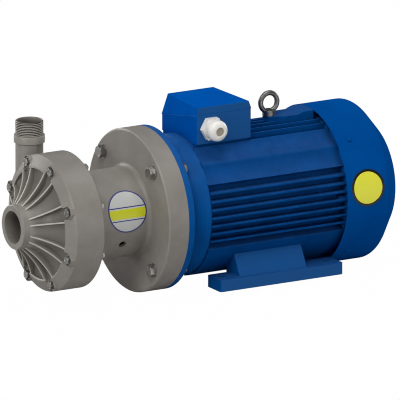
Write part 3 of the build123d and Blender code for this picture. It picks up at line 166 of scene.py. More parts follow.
def math_node(tree, operation, first, second=None, third=None, clamp=False):
    """Math node whose operands are sockets or plain numbers."""
    node = tree.nodes.new("ShaderNodeMath")
    node.operation = operation
    node.use_clamp = clamp
    for socket, value in zip(node.inputs, (first, second, third)):
        if isinstance(value, bpy.types.NodeSocket):
            tree.links.new(value, socket)
        elif value is not None:
            socket.default_value = value
    return node.outputs["Value"]


def spread(tree, value, low, high):
    """Maps a 0 to 1 mask onto a range."""
    node = add(tree, "ShaderNodeMapRange", To_Min=low, To_Max=high)
    tree.links.new(value, node.inputs["Value"])
    return node.outputs["Result"]


def blend_colour(tree, mask, low, high):
    """Colour that goes from low to high with a mask; either end is a socket or a colour."""
    node = tree.nodes.new("ShaderNodeMix")
    node.data_type = "RGBA"
    tree.links.new(mask, node.inputs["Factor"])
    for socket, value in ((node.inputs[6], low), (node.inputs[7], high)):
        if isinstance(value, bpy.types.NodeSocket):
            tree.links.new(value, socket)
        else:
            socket.default_value = value
    return node.outputs[2]


def object_place(tree):
    """Sockets with the X, Y and Z of the shaded point in the frame of the part."""
    place = add(tree, "ShaderNodeTexCoord")
    split = add(tree, "ShaderNodeSeparateXYZ")
    tree.links.new(place.outputs["Object"], split.inputs["Vector"])
    return split.outputs["X"], split.outputs["Y"], split.outputs["Z"]


def apart(tree, *pairs):
    """Distance of sockets from their centre values."""
    total = 0.0
    for socket, centre in pairs:
        offset = math_node(tree, "SUBTRACT", socket, centre)
        total = math_node(tree, "MULTIPLY_ADD", offset, offset, total)
    return math_node(tree, "SQRT", total)


def ramp(tree, value, low, high):
    """Mask that goes from 0 at one value to 1 at the other."""
    node = add(tree, "ShaderNodeMapRange", From_Min=low, From_Max=high)
    node.interpolation_type = "SMOOTHSTEP"
    tree.links.new(value, node.inputs["Value"])
    return node.outputs["Result"]


def new_effect(name, inputs, outputs):
    """Empty effect group with its sockets, its input node and its output node."""
    tree = bpy.data.node_groups.new(name, "ShaderNodeTree")
    for label, kind, value in inputs:
        socket = tree.interface.new_socket(label, in_out="INPUT", socket_type=kind)
        socket.default_value = value
    for label, kind in outputs:
        tree.interface.new_socket(label, in_out="OUTPUT", socket_type=kind)
    return tree, tree.nodes.new("NodeGroupInput"), tree.nodes.new("NodeGroupOutput")


def moulding_grain_effect():
    """Fine skin of a moulded or cast face, with broad pale and dark patches."""
    tree, given, result = new_effect(
        "Moulding grain",
        [("Scale", "NodeSocketFloat", 900.0), ("Patch scale", "NodeSocketFloat", 14.0)],
        [("Height", "NodeSocketFloat"), ("Patches", "NodeSocketFloat")],
    )
    place = add(tree, "ShaderNodeTexCoord")
    fine = add(tree, "ShaderNodeTexNoise", Detail=3.0, Roughness=0.6)
    broad = add(tree, "ShaderNodeTexNoise", Detail=4.0, Roughness=0.55, Distortion=0.4)
    for noise, scale in ((fine, "Scale"), (broad, "Patch scale")):
        tree.links.new(place.outputs["Object"], noise.inputs["Vector"])
        tree.links.new(given.outputs[scale], noise.inputs["Scale"])
    tree.links.new(fine.outputs["Fac"], result.inputs["Height"])
    tree.links.new(broad.outputs["Fac"], result.inputs["Patches"])
    return tree


def eased_edge_effect():
    """Rounded-over normal at sharp edges, and a mask of those edges."""
    tree, given, result = new_effect(
        "Eased edges",
        [("Radius", "NodeSocketFloat", 0.001)],
        [("Normal", "NodeSocketVector"), ("Edge", "NodeSocketFloat")],
    )
    bevel = tree.nodes.new("ShaderNodeBevel")
    bevel.samples = 6
    tree.links.new(given.outputs["Radius"], bevel.inputs["Radius"])
    flat = tree.nodes.new("ShaderNodeNewGeometry")
    match = tree.nodes.new("ShaderNodeVectorMath")
    match.operation = "DOT_PRODUCT"
    tree.links.new(bevel.outputs["Normal"], match.inputs[0])
    tree.links.new(flat.outputs["Normal"], match.inputs[1])
    turned_away = math_node(tree, "SUBTRACT", 1.0, match.outputs["Value"])
    edge = math_node(tree, "MULTIPLY", turned_away, 6.0, clamp=True)
    tree.links.new(bevel.outputs["Normal"], result.inputs["Normal"])
    tree.links.new(edge, result.inputs["Edge"])
    return tree


def lathe_rings_effect():
    """Fine rings that a lathe leaves about the shaft."""
    tree, given, result = new_effect(
        "Lathe rings", [("Pitch", "NodeSocketFloat", 0.0006)], [("Height", "NodeSocketFloat")]
    )
    along, across, up = object_place(tree)
    radius = apart(tree, (across, 0.0), (up, shaft_height))
    travel = math_node(tree, "ADD", radius, along)
    turns = math_node(tree, "DIVIDE", travel, given.outputs["Pitch"])
    wave = math_node(tree, "SINE", math_node(tree, "MULTIPLY", turns, tau))
    tree.links.new(spread(tree, wave, 0.5, 1.0), result.inputs["Height"])
    return tree


def settled_dust_effect():
    """Mask of a thin dust that lies on faces that look up."""
    tree, given, result = new_effect(
        "Settled dust", [("Amount", "NodeSocketFloat", 0.2)], [("Mask", "NodeSocketFloat")]
    )
    facing = tree.nodes.new("ShaderNodeNewGeometry")
    split = add(tree, "ShaderNodeSeparateXYZ")
    tree.links.new(facing.outputs["Normal"], split.inputs["Vector"])
    place = add(tree, "ShaderNodeTexCoord")
    noise = add(tree, "ShaderNodeTexNoise", Scale=60.0, Detail=5.0, Roughness=0.7)
    tree.links.new(place.outputs["Object"], noise.inputs["Vector"])
    lying = math_node(tree, "MULTIPLY", split.outputs["Z"], noise.outputs["Fac"], clamp=True)
    mask = math_node(tree, "MULTIPLY", lying, given.outputs["Amount"], clamp=True)
    tree.links.new(mask, result.inputs["Mask"])
    return tree


def trumpet_ribs_effect():
    """Masks of the painted highlights on the rib crests, the painted shade in the valleys between
    them on the casing's front, and the painted shade in the suction bore.
    """
    tree, _, result = new_effect(
        "Trumpet ribs",
        [],
        [("Crest", "NodeSocketFloat"), ("Valley", "NodeSocketFloat"), ("Bore", "NodeSocketFloat")],
    )
    along, across, up = object_place(tree)
    radius = apart(tree, (across, 0.0), (up, shaft_height))
    reach = apart(tree, (along, rib_arc_x), (radius, rib_arc_r))
    depth = math_node(tree, "SUBTRACT", reach, rib_arc_radius)
    beyond_ring = ramp(tree, radius, *suction_ring_edge)
    within_rim = ramp(tree, radius, *casing_rim_edge)
    zone = math_node(tree, "MULTIPLY", beyond_ring, within_rim)
    # Painted highlight on the rib crests and painted shade in the valleys between them
    crest_highlight = math_node(tree, "MULTIPLY", ramp(tree, depth, *rib_crest_band), zone)
    valley_shade = math_node(tree, "MULTIPLY", ramp(tree, depth, *rib_valley_band), zone)
    tree.links.new(crest_highlight, result.inputs["Crest"])
    tree.links.new(valley_shade, result.inputs["Valley"])
    # Painted shade inside the suction bore
    inside = ramp(tree, radius, *suction_wall)
    inward = ramp(tree, along, *(cad_box[0][0] + inset for inset in suction_shade))
    bore_shade = math_node(tree, "MULTIPLY", inside, inward)
    tree.links.new(bore_shade, result.inputs["Bore"])
    return tree


def thread_effect():
    """Masks of the painted highlights on the crests and the painted shade in the grooves of the
    discharge thread, and of the painted shade inside the nozzle's bore.
    """
    tree, _, result = new_effect(
        "Thread",
        [],
        [("Crest", "NodeSocketFloat"), ("Groove", "NodeSocketFloat"), ("Bore", "NodeSocketFloat")],
    )
    along, across, up = object_place(tree)
    low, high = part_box("discharge_nipple")
    middle = [(a + b) / 2 for a, b in zip(low, high)]
    radius = apart(tree, (along, middle[0]), (across, middle[1]))
    shoulder = high[2] - thread_length
    root = thread_radius - thread_depth
    above = ramp(tree, up, *(shoulder + rise for rise in thread_foot_band))
    outside = ramp(tree, radius, root - thread_relief_depth, root)
    zone = math_node(tree, "MULTIPLY", above, outside)
    # Painted highlight on the thread crests and painted shade in its grooves
    crest_highlight = ramp(tree, radius, *(thread_radius - inset for inset in thread_crest_band))
    groove_shade = ramp(tree, radius, *(thread_radius - inset for inset in thread_groove_band))
    tree.links.new(math_node(tree, "MULTIPLY", crest_highlight, zone), result.inputs["Crest"])
    tree.links.new(math_node(tree, "MULTIPLY", groove_shade, zone), result.inputs["Groove"])
    # Painted shade inside the nozzle's bore
    inside = ramp(tree, radius, *nozzle_wall)
    downward = ramp(tree, up, *(high[2] - inset for inset in nozzle_shade))
    bore_shade = math_node(tree, "MULTIPLY", inside, downward)
    tree.links.new(bore_shade, result.inputs["Bore"])
    return tree


def near_side_shade_effect():
    """Mask of the upright faces that look to the gland's side, where painted shade and a grey
    painted reflection go.
    """
    tree, _, result = new_effect("Near side shade", [], [("Mask", "NodeSocketFloat")])
    place = add(tree, "ShaderNodeTexCoord")
    split = add(tree, "ShaderNodeSeparateXYZ")
    tree.links.new(place.outputs["Normal"], split.inputs["Vector"])
    tree.links.new(ramp(tree, split.outputs["Y"], -0.75, -0.95), result.inputs["Mask"])
    return tree


GRAIN = moulding_grain_effect()
EDGES = eased_edge_effect()
RINGS = lathe_rings_effect()
DUST = settled_dust_effect()
RIBS = trumpet_ribs_effect()
THREAD = thread_effect()
NEAR_SIDE_SHADE = near_side_shade_effect()


def use(tree, effect, **inputs):
    """Effect placed in a material, with some of its inputs set by name."""
    node = tree.nodes.new("ShaderNodeGroup")
    node.node_tree = effect
    for name, value in inputs.items():
        node.inputs[name.replace("_", " ")].default_value = value
    return node


def surface(
    name,
    colour,
    patch_colour,
    gloss=(0.4, 0.5),
    metallic=0.0,
    coat=0.0,
    specular=0.5,
    grain=900.0,
    patch=14.0,
    depth=0.00003,
    edge_radius=0.0008,
    edge_colour=None,
    dust=0.0,
    rings=0.0,
):
    """Principled material with patches of colour, a grained skin, eased edges and painted
    highlights along the edges.
    """
    material = bpy.data.materials.new(name)
    material.use_nodes = True
    tree = material.node_tree
    tree.nodes.clear()
    shader = add(tree, "ShaderNodeBsdfPrincipled", Metallic=metallic)
    shader.inputs["Coat Weight"].default_value = coat
    shader.inputs["Coat Roughness"].default_value = 0.12
    shader.inputs["Specular IOR Level"].default_value = specular
    end = tree.nodes.new("ShaderNodeOutputMaterial")
    tree.links.new(shader.outputs["BSDF"], end.inputs["Surface"])
    skin = use(tree, GRAIN, Scale=grain, Patch_scale=patch)
    patches = add(tree, "ShaderNodeMapRange", From_Min=0.35, From_Max=0.65)
    tree.links.new(skin.outputs["Patches"], patches.inputs["Value"])
    shade = blend_colour(tree, patches.outputs["Result"], patch_colour, colour)
    rough = spread(tree, patches.outputs["Result"], gloss[1], gloss[0])
    bump = add(tree, "ShaderNodeBump", Strength=1.0, Distance=depth)
    tree.links.new(skin.outputs["Height"], bump.inputs["Height"])
    if rings:
        lathe = use(tree, RINGS, Pitch=rings)
        tree.links.new(lathe.outputs["Height"], bump.inputs["Height"])
    eased = use(tree, EDGES, Radius=edge_radius)
    tree.links.new(eased.outputs["Normal"], bump.inputs["Normal"])
    # Painted highlight along sharp edges, broken up by the patches
    if edge_colour:
        edge_highlight = math_node(
            tree, "MULTIPLY", eased.outputs["Edge"], patches.outputs["Result"], clamp=True
        )
        shade = blend_colour(tree, edge_highlight, shade, edge_colour)
    if dust:
        settled = use(tree, DUST, Amount=dust)
        shade = blend_colour(tree, settled.outputs["Mask"], shade, linear(190, 186, 178))
    tree.links.new(bump.outputs["Normal"], shader.inputs["Normal"])
    tree.links.new(shade, shader.inputs["Base Color"])
    tree.links.new(rough, shader.inputs["Roughness"])
    return material


def paint_over(material, *layers):
    """Lays colours over a finish, each through the mask that an effect gives."""
    tree = material.node_tree
    shader = next(node for node in tree.nodes if node.type == "BSDF_PRINCIPLED")
    colour = shader.inputs["Base Color"].links[0].from_socket
    for effect, mask, share, ink in layers:
        source = use(tree, effect).outputs[mask]
        colour = blend_colour(tree, math_node(tree, "MULTIPLY", source, share), colour, ink)
    tree.links.new(colour, shader.inputs["Base Color"])
    return material


# One finish for each material slot of the part
def pump_plastic(name="warm grey moulded plastic"):
    return surface(
        name,
        linear(136, 131, 125),
        linear(127, 122, 116),
        gloss=(0.42, 0.52),
        grain=700.0,
        patch=18.0,
        depth=0.00006,
        edge_radius=0.0012,
        edge_colour=linear(160, 155, 148),
    )


def ribbed_plastic_painted_light():
    """Casing plastic with painted highlights on the rib crests, painted shade between the ribs and
    painted shade inside the suction bore.
    """
    return paint_over(
        pump_plastic("ribbed casing plastic with painted highlights and shade"),
        # Painted shade in the valleys, painted highlight on the crests, painted shade in the bore
        (RIBS, "Valley", 0.5, linear(92, 87, 81)),
        (RIBS, "Crest", 0.75, linear(190, 185, 177)),
        (RIBS, "Bore", 0.75, linear(70, 61, 54)),
    )


def threaded_plastic_painted_light():
    """Nozzle plastic with painted highlights on the thread crests, painted shade in its grooves and
    painted shade inside the bore.
    """
    return paint_over(
        pump_plastic("threaded plastic with painted highlights and shade"),
        # Painted shade in the grooves, painted highlight on the crests, painted shade in the bore
        (THREAD, "Groove", 1.0, linear(36, 33, 30)),
        (THREAD, "Crest", 0.35, linear(186, 178, 168)),
        (THREAD, "Bore", 0.7, linear(70, 62, 55)),
    )


def motor_paint(
    name="blue paint on castings", colour=(1, 80, 150), patch_colour=(1, 74, 141), **changes
):
    """Blue paint of the motor, with some of its values changed for one piece or another."""
    finish = {
        "gloss": (0.34, 0.44),
        "specular": 0.03,
        "grain": 320.0,
        "patch": 22.0,
        "depth": 0.00012,
        "edge_radius": 0.0012,
        "edge_colour": linear(16, 96, 182),
        "dust": 0.04,
    }
    finish.update(changes)
    return surface(name, linear(*colour), linear(*patch_colour), **finish)


# Darker copy of the motor paint over the whole frame: painted shade of the finned body
def shaded_fin_paint():
    return motor_paint("blue paint on the fins", (1, 69, 134), (1, 62, 123), specular=0.01)


def shaded_near_side(paint):
    """The paint with painted shade and a grey painted reflection on its upright faces on the
    gland's side.
    """
    # Painted shade with a grey painted reflection on the near side
    return paint_over(paint, (NEAR_SIDE_SHADE, "Mask", 1.0, linear(30, 82, 142)))


# Lighter copy of the motor paint: painted light on the terminal box and lid, with painted shade and
# a grey painted reflection on the near side
def lit_box_paint():
    paint = motor_paint(
        "blue paint on the box",
        (1, 80, 165),
        (1, 75, 158),
        specular=0.0,
        edge_radius=0.0018,
        edge_colour=linear(30, 124, 208),
        dust=0.0,
    )
    return shaded_near_side(paint)


# Darker copy of the motor paint: painted shade under the frame, with the near side shaded as well
def shaded_foot_paint():
    return shaded_near_side(motor_paint("blue paint on the feet", (1, 70, 133), (1, 65, 124)))


def cowl_paint():
    return surface(
        "blue paint on sheet",
        linear(1, 73, 146),
        linear(1, 68, 139),
        gloss=(0.32, 0.4),
        specular=0.0,
        grain=500.0,
        patch=9.0,
        depth=0.00003,
        edge_radius=0.001,
        edge_colour=linear(16, 96, 182),
    )


def zinc_steel():
    return surface(
        "zinc-plated steel",
        linear(176, 174, 170),
        linear(146, 144, 140),
        gloss=(0.3, 0.44),
        metallic=1.0,
        grain=1500.0,
        patch=160.0,
        depth=0.00002,
        edge_radius=0.0005,
        edge_colour=linear(215, 215, 216),
    )


def forged_steel():
    return surface(
        "forged steel",
        linear(150, 150, 150),
        linear(116, 115, 113),
        gloss=(0.3, 0.46),
        metallic=1.0,
        grain=600.0,
        patch=90.0,
        depth=0.00012,
        edge_radius=0.001,
    )


def wetted_plastic():
    return surface(
        "fibre-filled plastic",
        linear(128, 124, 119),
        linear(114, 111, 107),
        gloss=(0.5, 0.62),
        grain=800.0,
        patch=40.0,
        depth=0.00008,
    )


def white_ceramic():
    return surface(
        "ground ceramic",
        linear(238, 234, 226),
        linear(230, 225, 215),
        gloss=(0.16, 0.24),
        coat=0.3,
        grain=2000.0,
        patch=30.0,
        depth=0.00001,
    )


def carbon():
    return surface(
        "carbon bearing plastic",
        linear(52, 52, 53),
        linear(38, 38, 40),
        gloss=(0.32, 0.44),
        grain=1800.0,
        patch=200.0,
        depth=0.00002,
    )


def magnet():
    return surface(
        "nickel-plated magnet",
        linear(178, 180, 184),
        linear(158, 160, 165),
        gloss=(0.18, 0.28),
        metallic=1.0,
        grain=1200.0,
        patch=60.0,
        depth=0.00001,
        edge_radius=0.0006,
    )


def black_rubber():
    return surface(
        "moulded rubber",
        linear(34, 34, 35),
        linear(26, 26, 27),
        gloss=(0.6, 0.72),
        grain=1400.0,
        patch=60.0,
        depth=0.00004,
    )


def cast_bell():
    return surface(
        "turned casting",
        linear(120, 120, 122),
        linear(98, 98, 100),
        gloss=(0.34, 0.46),
        metallic=0.9,
        patch=50.0,
        depth=0.00002,
        rings=0.0007,
    )


def shaft_steel():
    return surface(
        "ground steel",
        linear(196, 197, 199),
        linear(182, 183, 186),
        gloss=(0.18, 0.26),
        metallic=1.0,
        patch=30.0,
        depth=0.000008,
        rings=0.0005,
    )


def bearing_steel():
    return surface(
        "polished bearing steel",
        linear(210, 211, 214),
        linear(200, 201, 205),
        gloss=(0.08, 0.13),
        metallic=1.0,
        patch=40.0,
        depth=0.000004,
        rings=0.0004,
    )


def core_steel():
    return surface(
        "stacked electrical sheet",
        linear(112, 113, 118),
        linear(92, 92, 96),
        gloss=(0.4, 0.52),
        metallic=0.9,
        patch=70.0,
        depth=0.0001,
        rings=0.001,
    )


def copper():
    return surface(
        "varnished copper wire",
        linear(196, 112, 62),
        linear(168, 84, 44),
        gloss=(0.22, 0.34),
        metallic=0.9,
        coat=0.4,
        patch=60.0,
        depth=0.0004,
        rings=0.0018,
    )


def fan_plastic():
    return surface(
        "black fan plastic",
        linear(36, 37, 39),
        linear(28, 29, 31),
        gloss=(0.42, 0.55),
        grain=900.0,
        patch=25.0,
        depth=0.00005,
        dust=0.25,
    )


def gland_white():
    return surface(
        "white gland plastic",
        linear(232, 230, 226),
        linear(224, 221, 216),
        gloss=(0.34, 0.42),
        grain=1100.0,
        patch=60.0,
        depth=0.00002,
        edge_radius=0.0009,
    )


def gland_insert():
    return surface(
        "beige sealing rubber",
        linear(158, 150, 134),
        linear(146, 139, 124),
        gloss=(0.6, 0.7),
        grain=1300.0,
        patch=110.0,
        depth=0.00005,
    )


def board_plastic():
    return surface(
        "brown thermoset",
        linear(96, 62, 44),
        linear(80, 50, 36),
        gloss=(0.4, 0.52),
        grain=1200.0,
        patch=90.0,
        depth=0.00003,
    )


def brass_studs():
    return surface(
        "turned brass",
        linear(214, 178, 104),
        linear(196, 158, 86),
        gloss=(0.2, 0.3),
        metallic=1.0,
        patch=120.0,
        depth=0.00001,
        edge_radius=0.0004,
    )


FINISHES = {
    make.__name__: make()
    for make in (
        pump_plastic,
        motor_paint,
        cowl_paint,
        zinc_steel,
        forged_steel,
        wetted_plastic,
        white_ceramic,
        carbon,
        magnet,
        black_rubber,
        cast_bell,
        shaft_steel,
        bearing_steel,
        core_steel,
        copper,
        fan_plastic,
        gland_white,
        gland_insert,
        board_plastic,
        brass_studs,
    )
}


def dress_cad_nodes():
    """Gives every solid its slot's finish, and some of them a variant of it with painted highlights
    and shade.
    """
    for name, piece in frame["nodes"].items():
        piece.data.materials.clear()
        piece.data.materials.append(FINISHES[SLOTS[name]])
    variants = (
        (ribbed_plastic_painted_light(), ("volute_casing",)),
        (shaded_fin_paint(), ("motor_frame",)),
        (lit_box_paint(), ("terminal_box", "terminal_lid")),
        (shaded_foot_paint(), ("motor_foot_right", "motor_foot_left")),
    )
    for variant, names in variants:
        for name in names:
            frame["nodes"][name].data.materials[0] = variant


def finished(mesh, name, slot_name, smooth_angle=35.0):
    """Turns a bmesh into a piece that rides on the standing body and takes a slot's finish."""
    bmesh.ops.recalc_face_normals(mesh, faces=mesh.faces)
    data = bpy.data.meshes.new(name)
    mesh.to_mesh(data)
    mesh.free()
    for face in data.polygons:
        face.use_smooth = True
    data.set_sharp_from_angle(angle=radians(smooth_angle))
    data.materials.append(FINISHES[slot_name])
    piece = bpy.data.objects.new(name, data)
    bpy.context.scene.collection.objects.link(piece)
    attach(piece, "root")
    return piece


# Threads, turned about Z
def open_edges(mesh, height):
    """Edges of an open rim at one height."""
    return [
        edge
        for edge in mesh.edges
        if edge.is_boundary and all(abs(vert.co.z - height) < 1e-6 for vert in edge.verts)
    ]


def pull_rim(mesh, rim, radius, height):
    """Extrudes an open rim to a circle of another radius and height, and returns the new rim."""
    made = bmesh.ops.extrude_edge_only(mesh, edges=rim)["geom"]
    verts = {item for item in made if isinstance(item, bmesh.types.BMVert)}
    for vert in verts:
        share = radius / hypot(vert.co.x, vert.co.y)
        vert.co = (vert.co.x * share, vert.co.y * share, height)
    edges = [item for item in made if isinstance(item, bmesh.types.BMEdge)]
    return [edge for edge in edges if verts.issuperset(edge.verts)]


def cut_thread(mesh, radius, depth, pitch, start, end, chamfer, steps=72):
    """Screw surface between two heights, with its end rims left open."""
    root = radius - depth
    # One turn of the profile, as shares of the pitch and radii
    section = [(0.0, root), (0.18, root), (0.42, radius), (0.76, radius), (1.0, root)]
    first = start - pitch
    turns = ceil((end - first) / pitch) + 1
    points = [mesh.verts.new((at, 0, first + share * pitch)) for share, at in section]
    edges = [mesh.edges.new(pair) for pair in zip(points, points[1:])]
    bmesh.ops.spin(
        mesh,
        geom=points + edges,
        cent=(0, 0, 0),
        axis=(0, 0, 1),
        dvec=(0, 0, pitch / steps),
        angle=tau * turns,
        steps=steps * turns,
    )
    bmesh.ops.remove_doubles(mesh, verts=mesh.verts, dist=pitch * 0.01)
    for height, side in ((start, -1), (end, 1)):
        bmesh.ops.bisect_plane(
            mesh,
            geom=mesh.verts[:] + mesh.edges[:] + mesh.faces[:],
            plane_co=(0, 0, height),
            plane_no=(0, 0, side),
            clear_outer=True,
        )
    bmesh.ops.bisect_plane(
        mesh,
        geom=mesh.verts[:] + mesh.edges[:] + mesh.faces[:],
        plane_co=(0, 0, end - chamfer),
        plane_no=(0, 0, 1),
    )
    for vert in mesh.verts:
        over = vert.co.z - (end - chamfer)
        reach = hypot(vert.co.x, vert.co.y)
        limit = radius - over
        if over > 0 and reach > limit:
            vert.co.x *= limit / reach
            vert.co.y *= limit / reach


def threaded_discharge():
    """Collar and pipe thread of the discharge branch, open through its bore."""
    low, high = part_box("discharge_nipple")
    centre = ((low[0] + high[0]) / 2, (low[1] + high[1]) / 2)
    foot, top = low[2], high[2]
    collar = (high[0] - low[0]) / 2
    shoulder = top - thread_length
    relief = thread_radius - thread_depth - thread_relief_depth
    collar_top = shoulder - thread_relief_length
    mesh = bmesh.new()
    cut_thread(
        mesh, thread_radius, thread_depth, thread_pitch, shoulder, top, thread_chamfer, steps=96
    )
    mouth = pull_rim(mesh, open_edges(mesh, top), nozzle_bore + nozzle_mouth_edge, top)
    mouth = pull_rim(mesh, mouth, nozzle_bore, top - nozzle_mouth_edge)
    mouth = pull_rim(mesh, mouth, nozzle_bore, foot)
    rim = open_edges(mesh, shoulder)
    for radius, height in (
        (relief, shoulder),
        (relief, collar_top),
        (collar - collar_edge, collar_top),
        (collar - collar_edge * 0.3, collar_top - collar_edge * 0.3),
        (collar, collar_top - collar_edge),
        (collar, foot + collar_underside),
        (nozzle_neck, foot),
    ):
        rim = pull_rim(mesh, rim, radius, height)
    bmesh.ops.bridge_loops(mesh, edges=rim + mouth)
    bmesh.ops.translate(mesh, verts=mesh.verts, vec=(centre[0], centre[1], 0))
    piece = finished(mesh, "threaded_discharge", "pump_plastic")
    piece.data.materials[0] = threaded_plastic_painted_light()
    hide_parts("discharge_nipple")


def hexagon_reach(angle, flats):
    """Distance from the centre of a hexagon to its side in one direction."""
    sixth = tau / 6
    return flats / 2 / cos((angle + sixth / 2) % sixth - sixth / 2)


def hexagon_head(mesh, rim, flats, height, base, steps):
    """Chamfered hexagon head raised from a rim that lies on its seat."""
    corner = flats / 2 / cos(tau / 12)
    chamfer = (corner - flats / 2) * 0.62
    chamfer_slope = 1.7
    chamfer_steps = 6
    face_radius, hollow_radius = flats * 0.40, flats * 0.37
    hollow_depth = 0.0004
    levels = [base, base - height + chamfer]
    levels += [
        base - height + chamfer * (1 - step / chamfer_steps) for step in range(1, chamfer_steps + 1)
    ]
    for level in levels:
        rim = pull_rim(mesh, rim, flats / 2, level)
        cone = corner - max(0.0, chamfer - (level - base + height)) * chamfer_slope
        for vert in {vert for edge in rim for vert in edge.verts}:
            angle = atan2(vert.co.y, vert.co.x)
            reach = min(hexagon_reach(angle, flats), cone)
            vert.co.x, vert.co.y = reach * cos(angle), reach * sin(angle)
    rim = pull_rim(mesh, rim, face_radius, base - height)
    rim = pull_rim(mesh, rim, hollow_radius, base - height + hollow_depth)
    bmesh.ops.holes_fill(mesh, edges=rim, sides=steps * 2)


def hexagon_bolts(node, shank, flats, head, pitch, threaded, circle, count, start):
    """Set of hexagon bolts about the shaft, in place of the plain ones of a node."""
    low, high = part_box(node)
    head_x, tip_x = low[0], high[0]
    seat = head_x + head
    steps = 36
    depth = pitch * 0.58
    tip_chamfer, tip_radius = shank * 0.24, shank * 0.6
    bolt = bmesh.new()
    cut_thread(bolt, shank, depth, pitch, tip_x - threaded, tip_x, tip_chamfer, steps=steps)
    end = pull_rim(bolt, open_edges(bolt, tip_x), tip_radius, tip_x)
    bmesh.ops.holes_fill(bolt, edges=end, sides=steps * 4)
    rim = open_edges(bolt, tip_x - threaded)
    rim = pull_rim(bolt, rim, shank, tip_x - threaded)
    rim = pull_rim(bolt, rim, shank, seat)
    hexagon_head(bolt, rim, flats, head, seat, steps)
    along_shaft = Matrix.Rotation(tau / 4, 4, "Y")
    bolt.transform(along_shaft)
    one = bpy.data.meshes.new("one bolt")
    bolt.to_mesh(one)
    bolt.free()
    together = bmesh.new()
    for i in range(count):
        copied = one.copy()
        angle = radians(start) + tau / count * i
        wrench_turn = angle * 1.7
        copied.transform(Matrix.Rotation(wrench_turn, 4, "X"))
        place = (0, circle * cos(angle), shaft_height + circle * sin(angle))
        copied.transform(Matrix.Translation(place))
        together.from_mesh(copied)
        bpy.data.meshes.remove(copied)
    bpy.data.meshes.remove(one)
    piece = finished(together, f"hexagon_{node}", "zinc_steel", smooth_angle=28.0)
    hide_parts(node)


# Round labels that lie on the neck and on the cowl
def band_mask(tree, height, low, high):
    """Mask of the strip between two heights."""
    below = math_node(tree, "LESS_THAN", height, high)
    above = math_node(tree, "GREATER_THAN", height, low)
    return math_node(tree, "MULTIPLY", below, above)


def printed_foil(name, field, rim_colour, rim_start, bands):
    """Foil printed with a rim and plain bands; the label's own map gives places from its centre."""
    material = surface(
        name, field, field, gloss=(0.28, 0.34), coat=0.3, grain=300.0, depth=0.00001
    )
    tree = material.node_tree
    shader = next(node for node in tree.nodes if node.type == "BSDF_PRINCIPLED")
    place = add(tree, "ShaderNodeUVMap")
    place.uv_map = "label"
    centred = add(tree, "ShaderNodeVectorMath")
    centred.operation = "SUBTRACT"
    centred.inputs[1].default_value = (0.5, 0.5, 0.0)
    tree.links.new(place.outputs["UV"], centred.inputs[0])
    length = tree.nodes.new("ShaderNodeVectorMath")
    length.operation = "LENGTH"
    tree.links.new(centred.outputs["Vector"], length.inputs[0])
    distance = math_node(tree, "MULTIPLY", length.outputs["Value"], 2.0)
    split = add(tree, "ShaderNodeSeparateXYZ")
    tree.links.new(centred.outputs["Vector"], split.inputs["Vector"])
    height = math_node(tree, "MULTIPLY", split.outputs["Y"], 2.0)
    colour = shader.inputs["Base Color"].links[0].from_socket
    for low, high, ink in bands:
        colour = blend_colour(tree, band_mask(tree, height, low, high), colour, ink)
    rim = math_node(tree, "GREATER_THAN", distance, rim_start)
    colour = blend_colour(tree, rim, colour, rim_colour)
    tree.links.new(colour, shader.inputs["Base Color"])
    return material


def wrapped_label(name, material, radius, barrel, centre_x, angle):
    """Thin round label laid on a cylinder about the shaft, on the near side."""
    mesh = bmesh.new()
    layer = mesh.loops.layers.uv.new("label")
    rings = 14
    spoke = [mesh.verts.new((radius * i / rings, 0, 0)) for i in range(rings + 1)]
    edges = [mesh.edges.new(pair) for pair in zip(spoke, spoke[1:])]
    bmesh.ops.spin(
        mesh,
        geom=spoke + edges,
        cent=(0, 0, 0),
        axis=(0, 0, 1),
        angle=tau,
        steps=96,
        use_merge=True,
    )
    bmesh.ops.remove_doubles(mesh, verts=mesh.verts, dist=1e-6)
    bottom = mesh.faces[:]
    made = bmesh.ops.extrude_face_region(mesh, geom=bottom, use_keep_orig=True)["geom"]
    raised = [item for item in made if isinstance(item, bmesh.types.BMVert)]
    bmesh.ops.translate(mesh, verts=raised, vec=(0, 0, foil_thickness))
    for face in mesh.faces:
        for loop in face.loops:
            across, up = loop.vert.co.x, loop.vert.co.y
            loop[layer].uv = (0.5 + across / radius / 2, 0.5 + up / radius / 2)
    for vert in mesh.verts:
        across, up, out = vert.co
        turn = radians(angle) + up / barrel
        reach = barrel + foil_lift + out
        place = Vector((centre_x + across, -reach * cos(turn), shaft_height + reach * sin(turn)))
        vert.co = place
    piece = finished(mesh, name, "gland_white")
    piece.data.materials[0] = material


def neck_label():
    white, navy, lime = linear(190, 192, 190), linear(44, 52, 120), linear(196, 200, 20)
    bands = ((-0.34, 0.10, lime), (0.16, 0.21, navy), (-0.45, -0.40, navy))
    foil = printed_foil("white foil with bands", white, navy, 0.94, bands)
    wrapped_label(
        "neck_label", foil, neck_label_radius, neck_radius, neck_label_x, neck_label_turn
    )


def cowl_label():
    yellow, black = linear(228, 226, 60), linear(20, 22, 22)
    foil = printed_foil("yellow foil", yellow, black, 0.86, ())
    wrapped_label(
        "cowl_label", foil, cowl_label_radius, cowl_radius, cowl_label_x, cowl_label_turn
    )


# Studio
def area_light(name, place, target, size, power, colour=(1.0, 1.0, 1.0)):
    """Rectangular light at a place, turned to look at a target."""
    data = bpy.data.lights.new(name, "AREA")
    data.shape = "RECTANGLE"
    data.size, data.size_y = size
    data.energy = power
    data.color = colour
    lamp = bpy.data.objects.new(name, data)
    bpy.context.scene.collection.objects.link(lamp)
    lamp.location = place
    lamp.rotation_euler = (Vector(target) - Vector(place)).to_track_quat("-Z", "Y").to_euler()


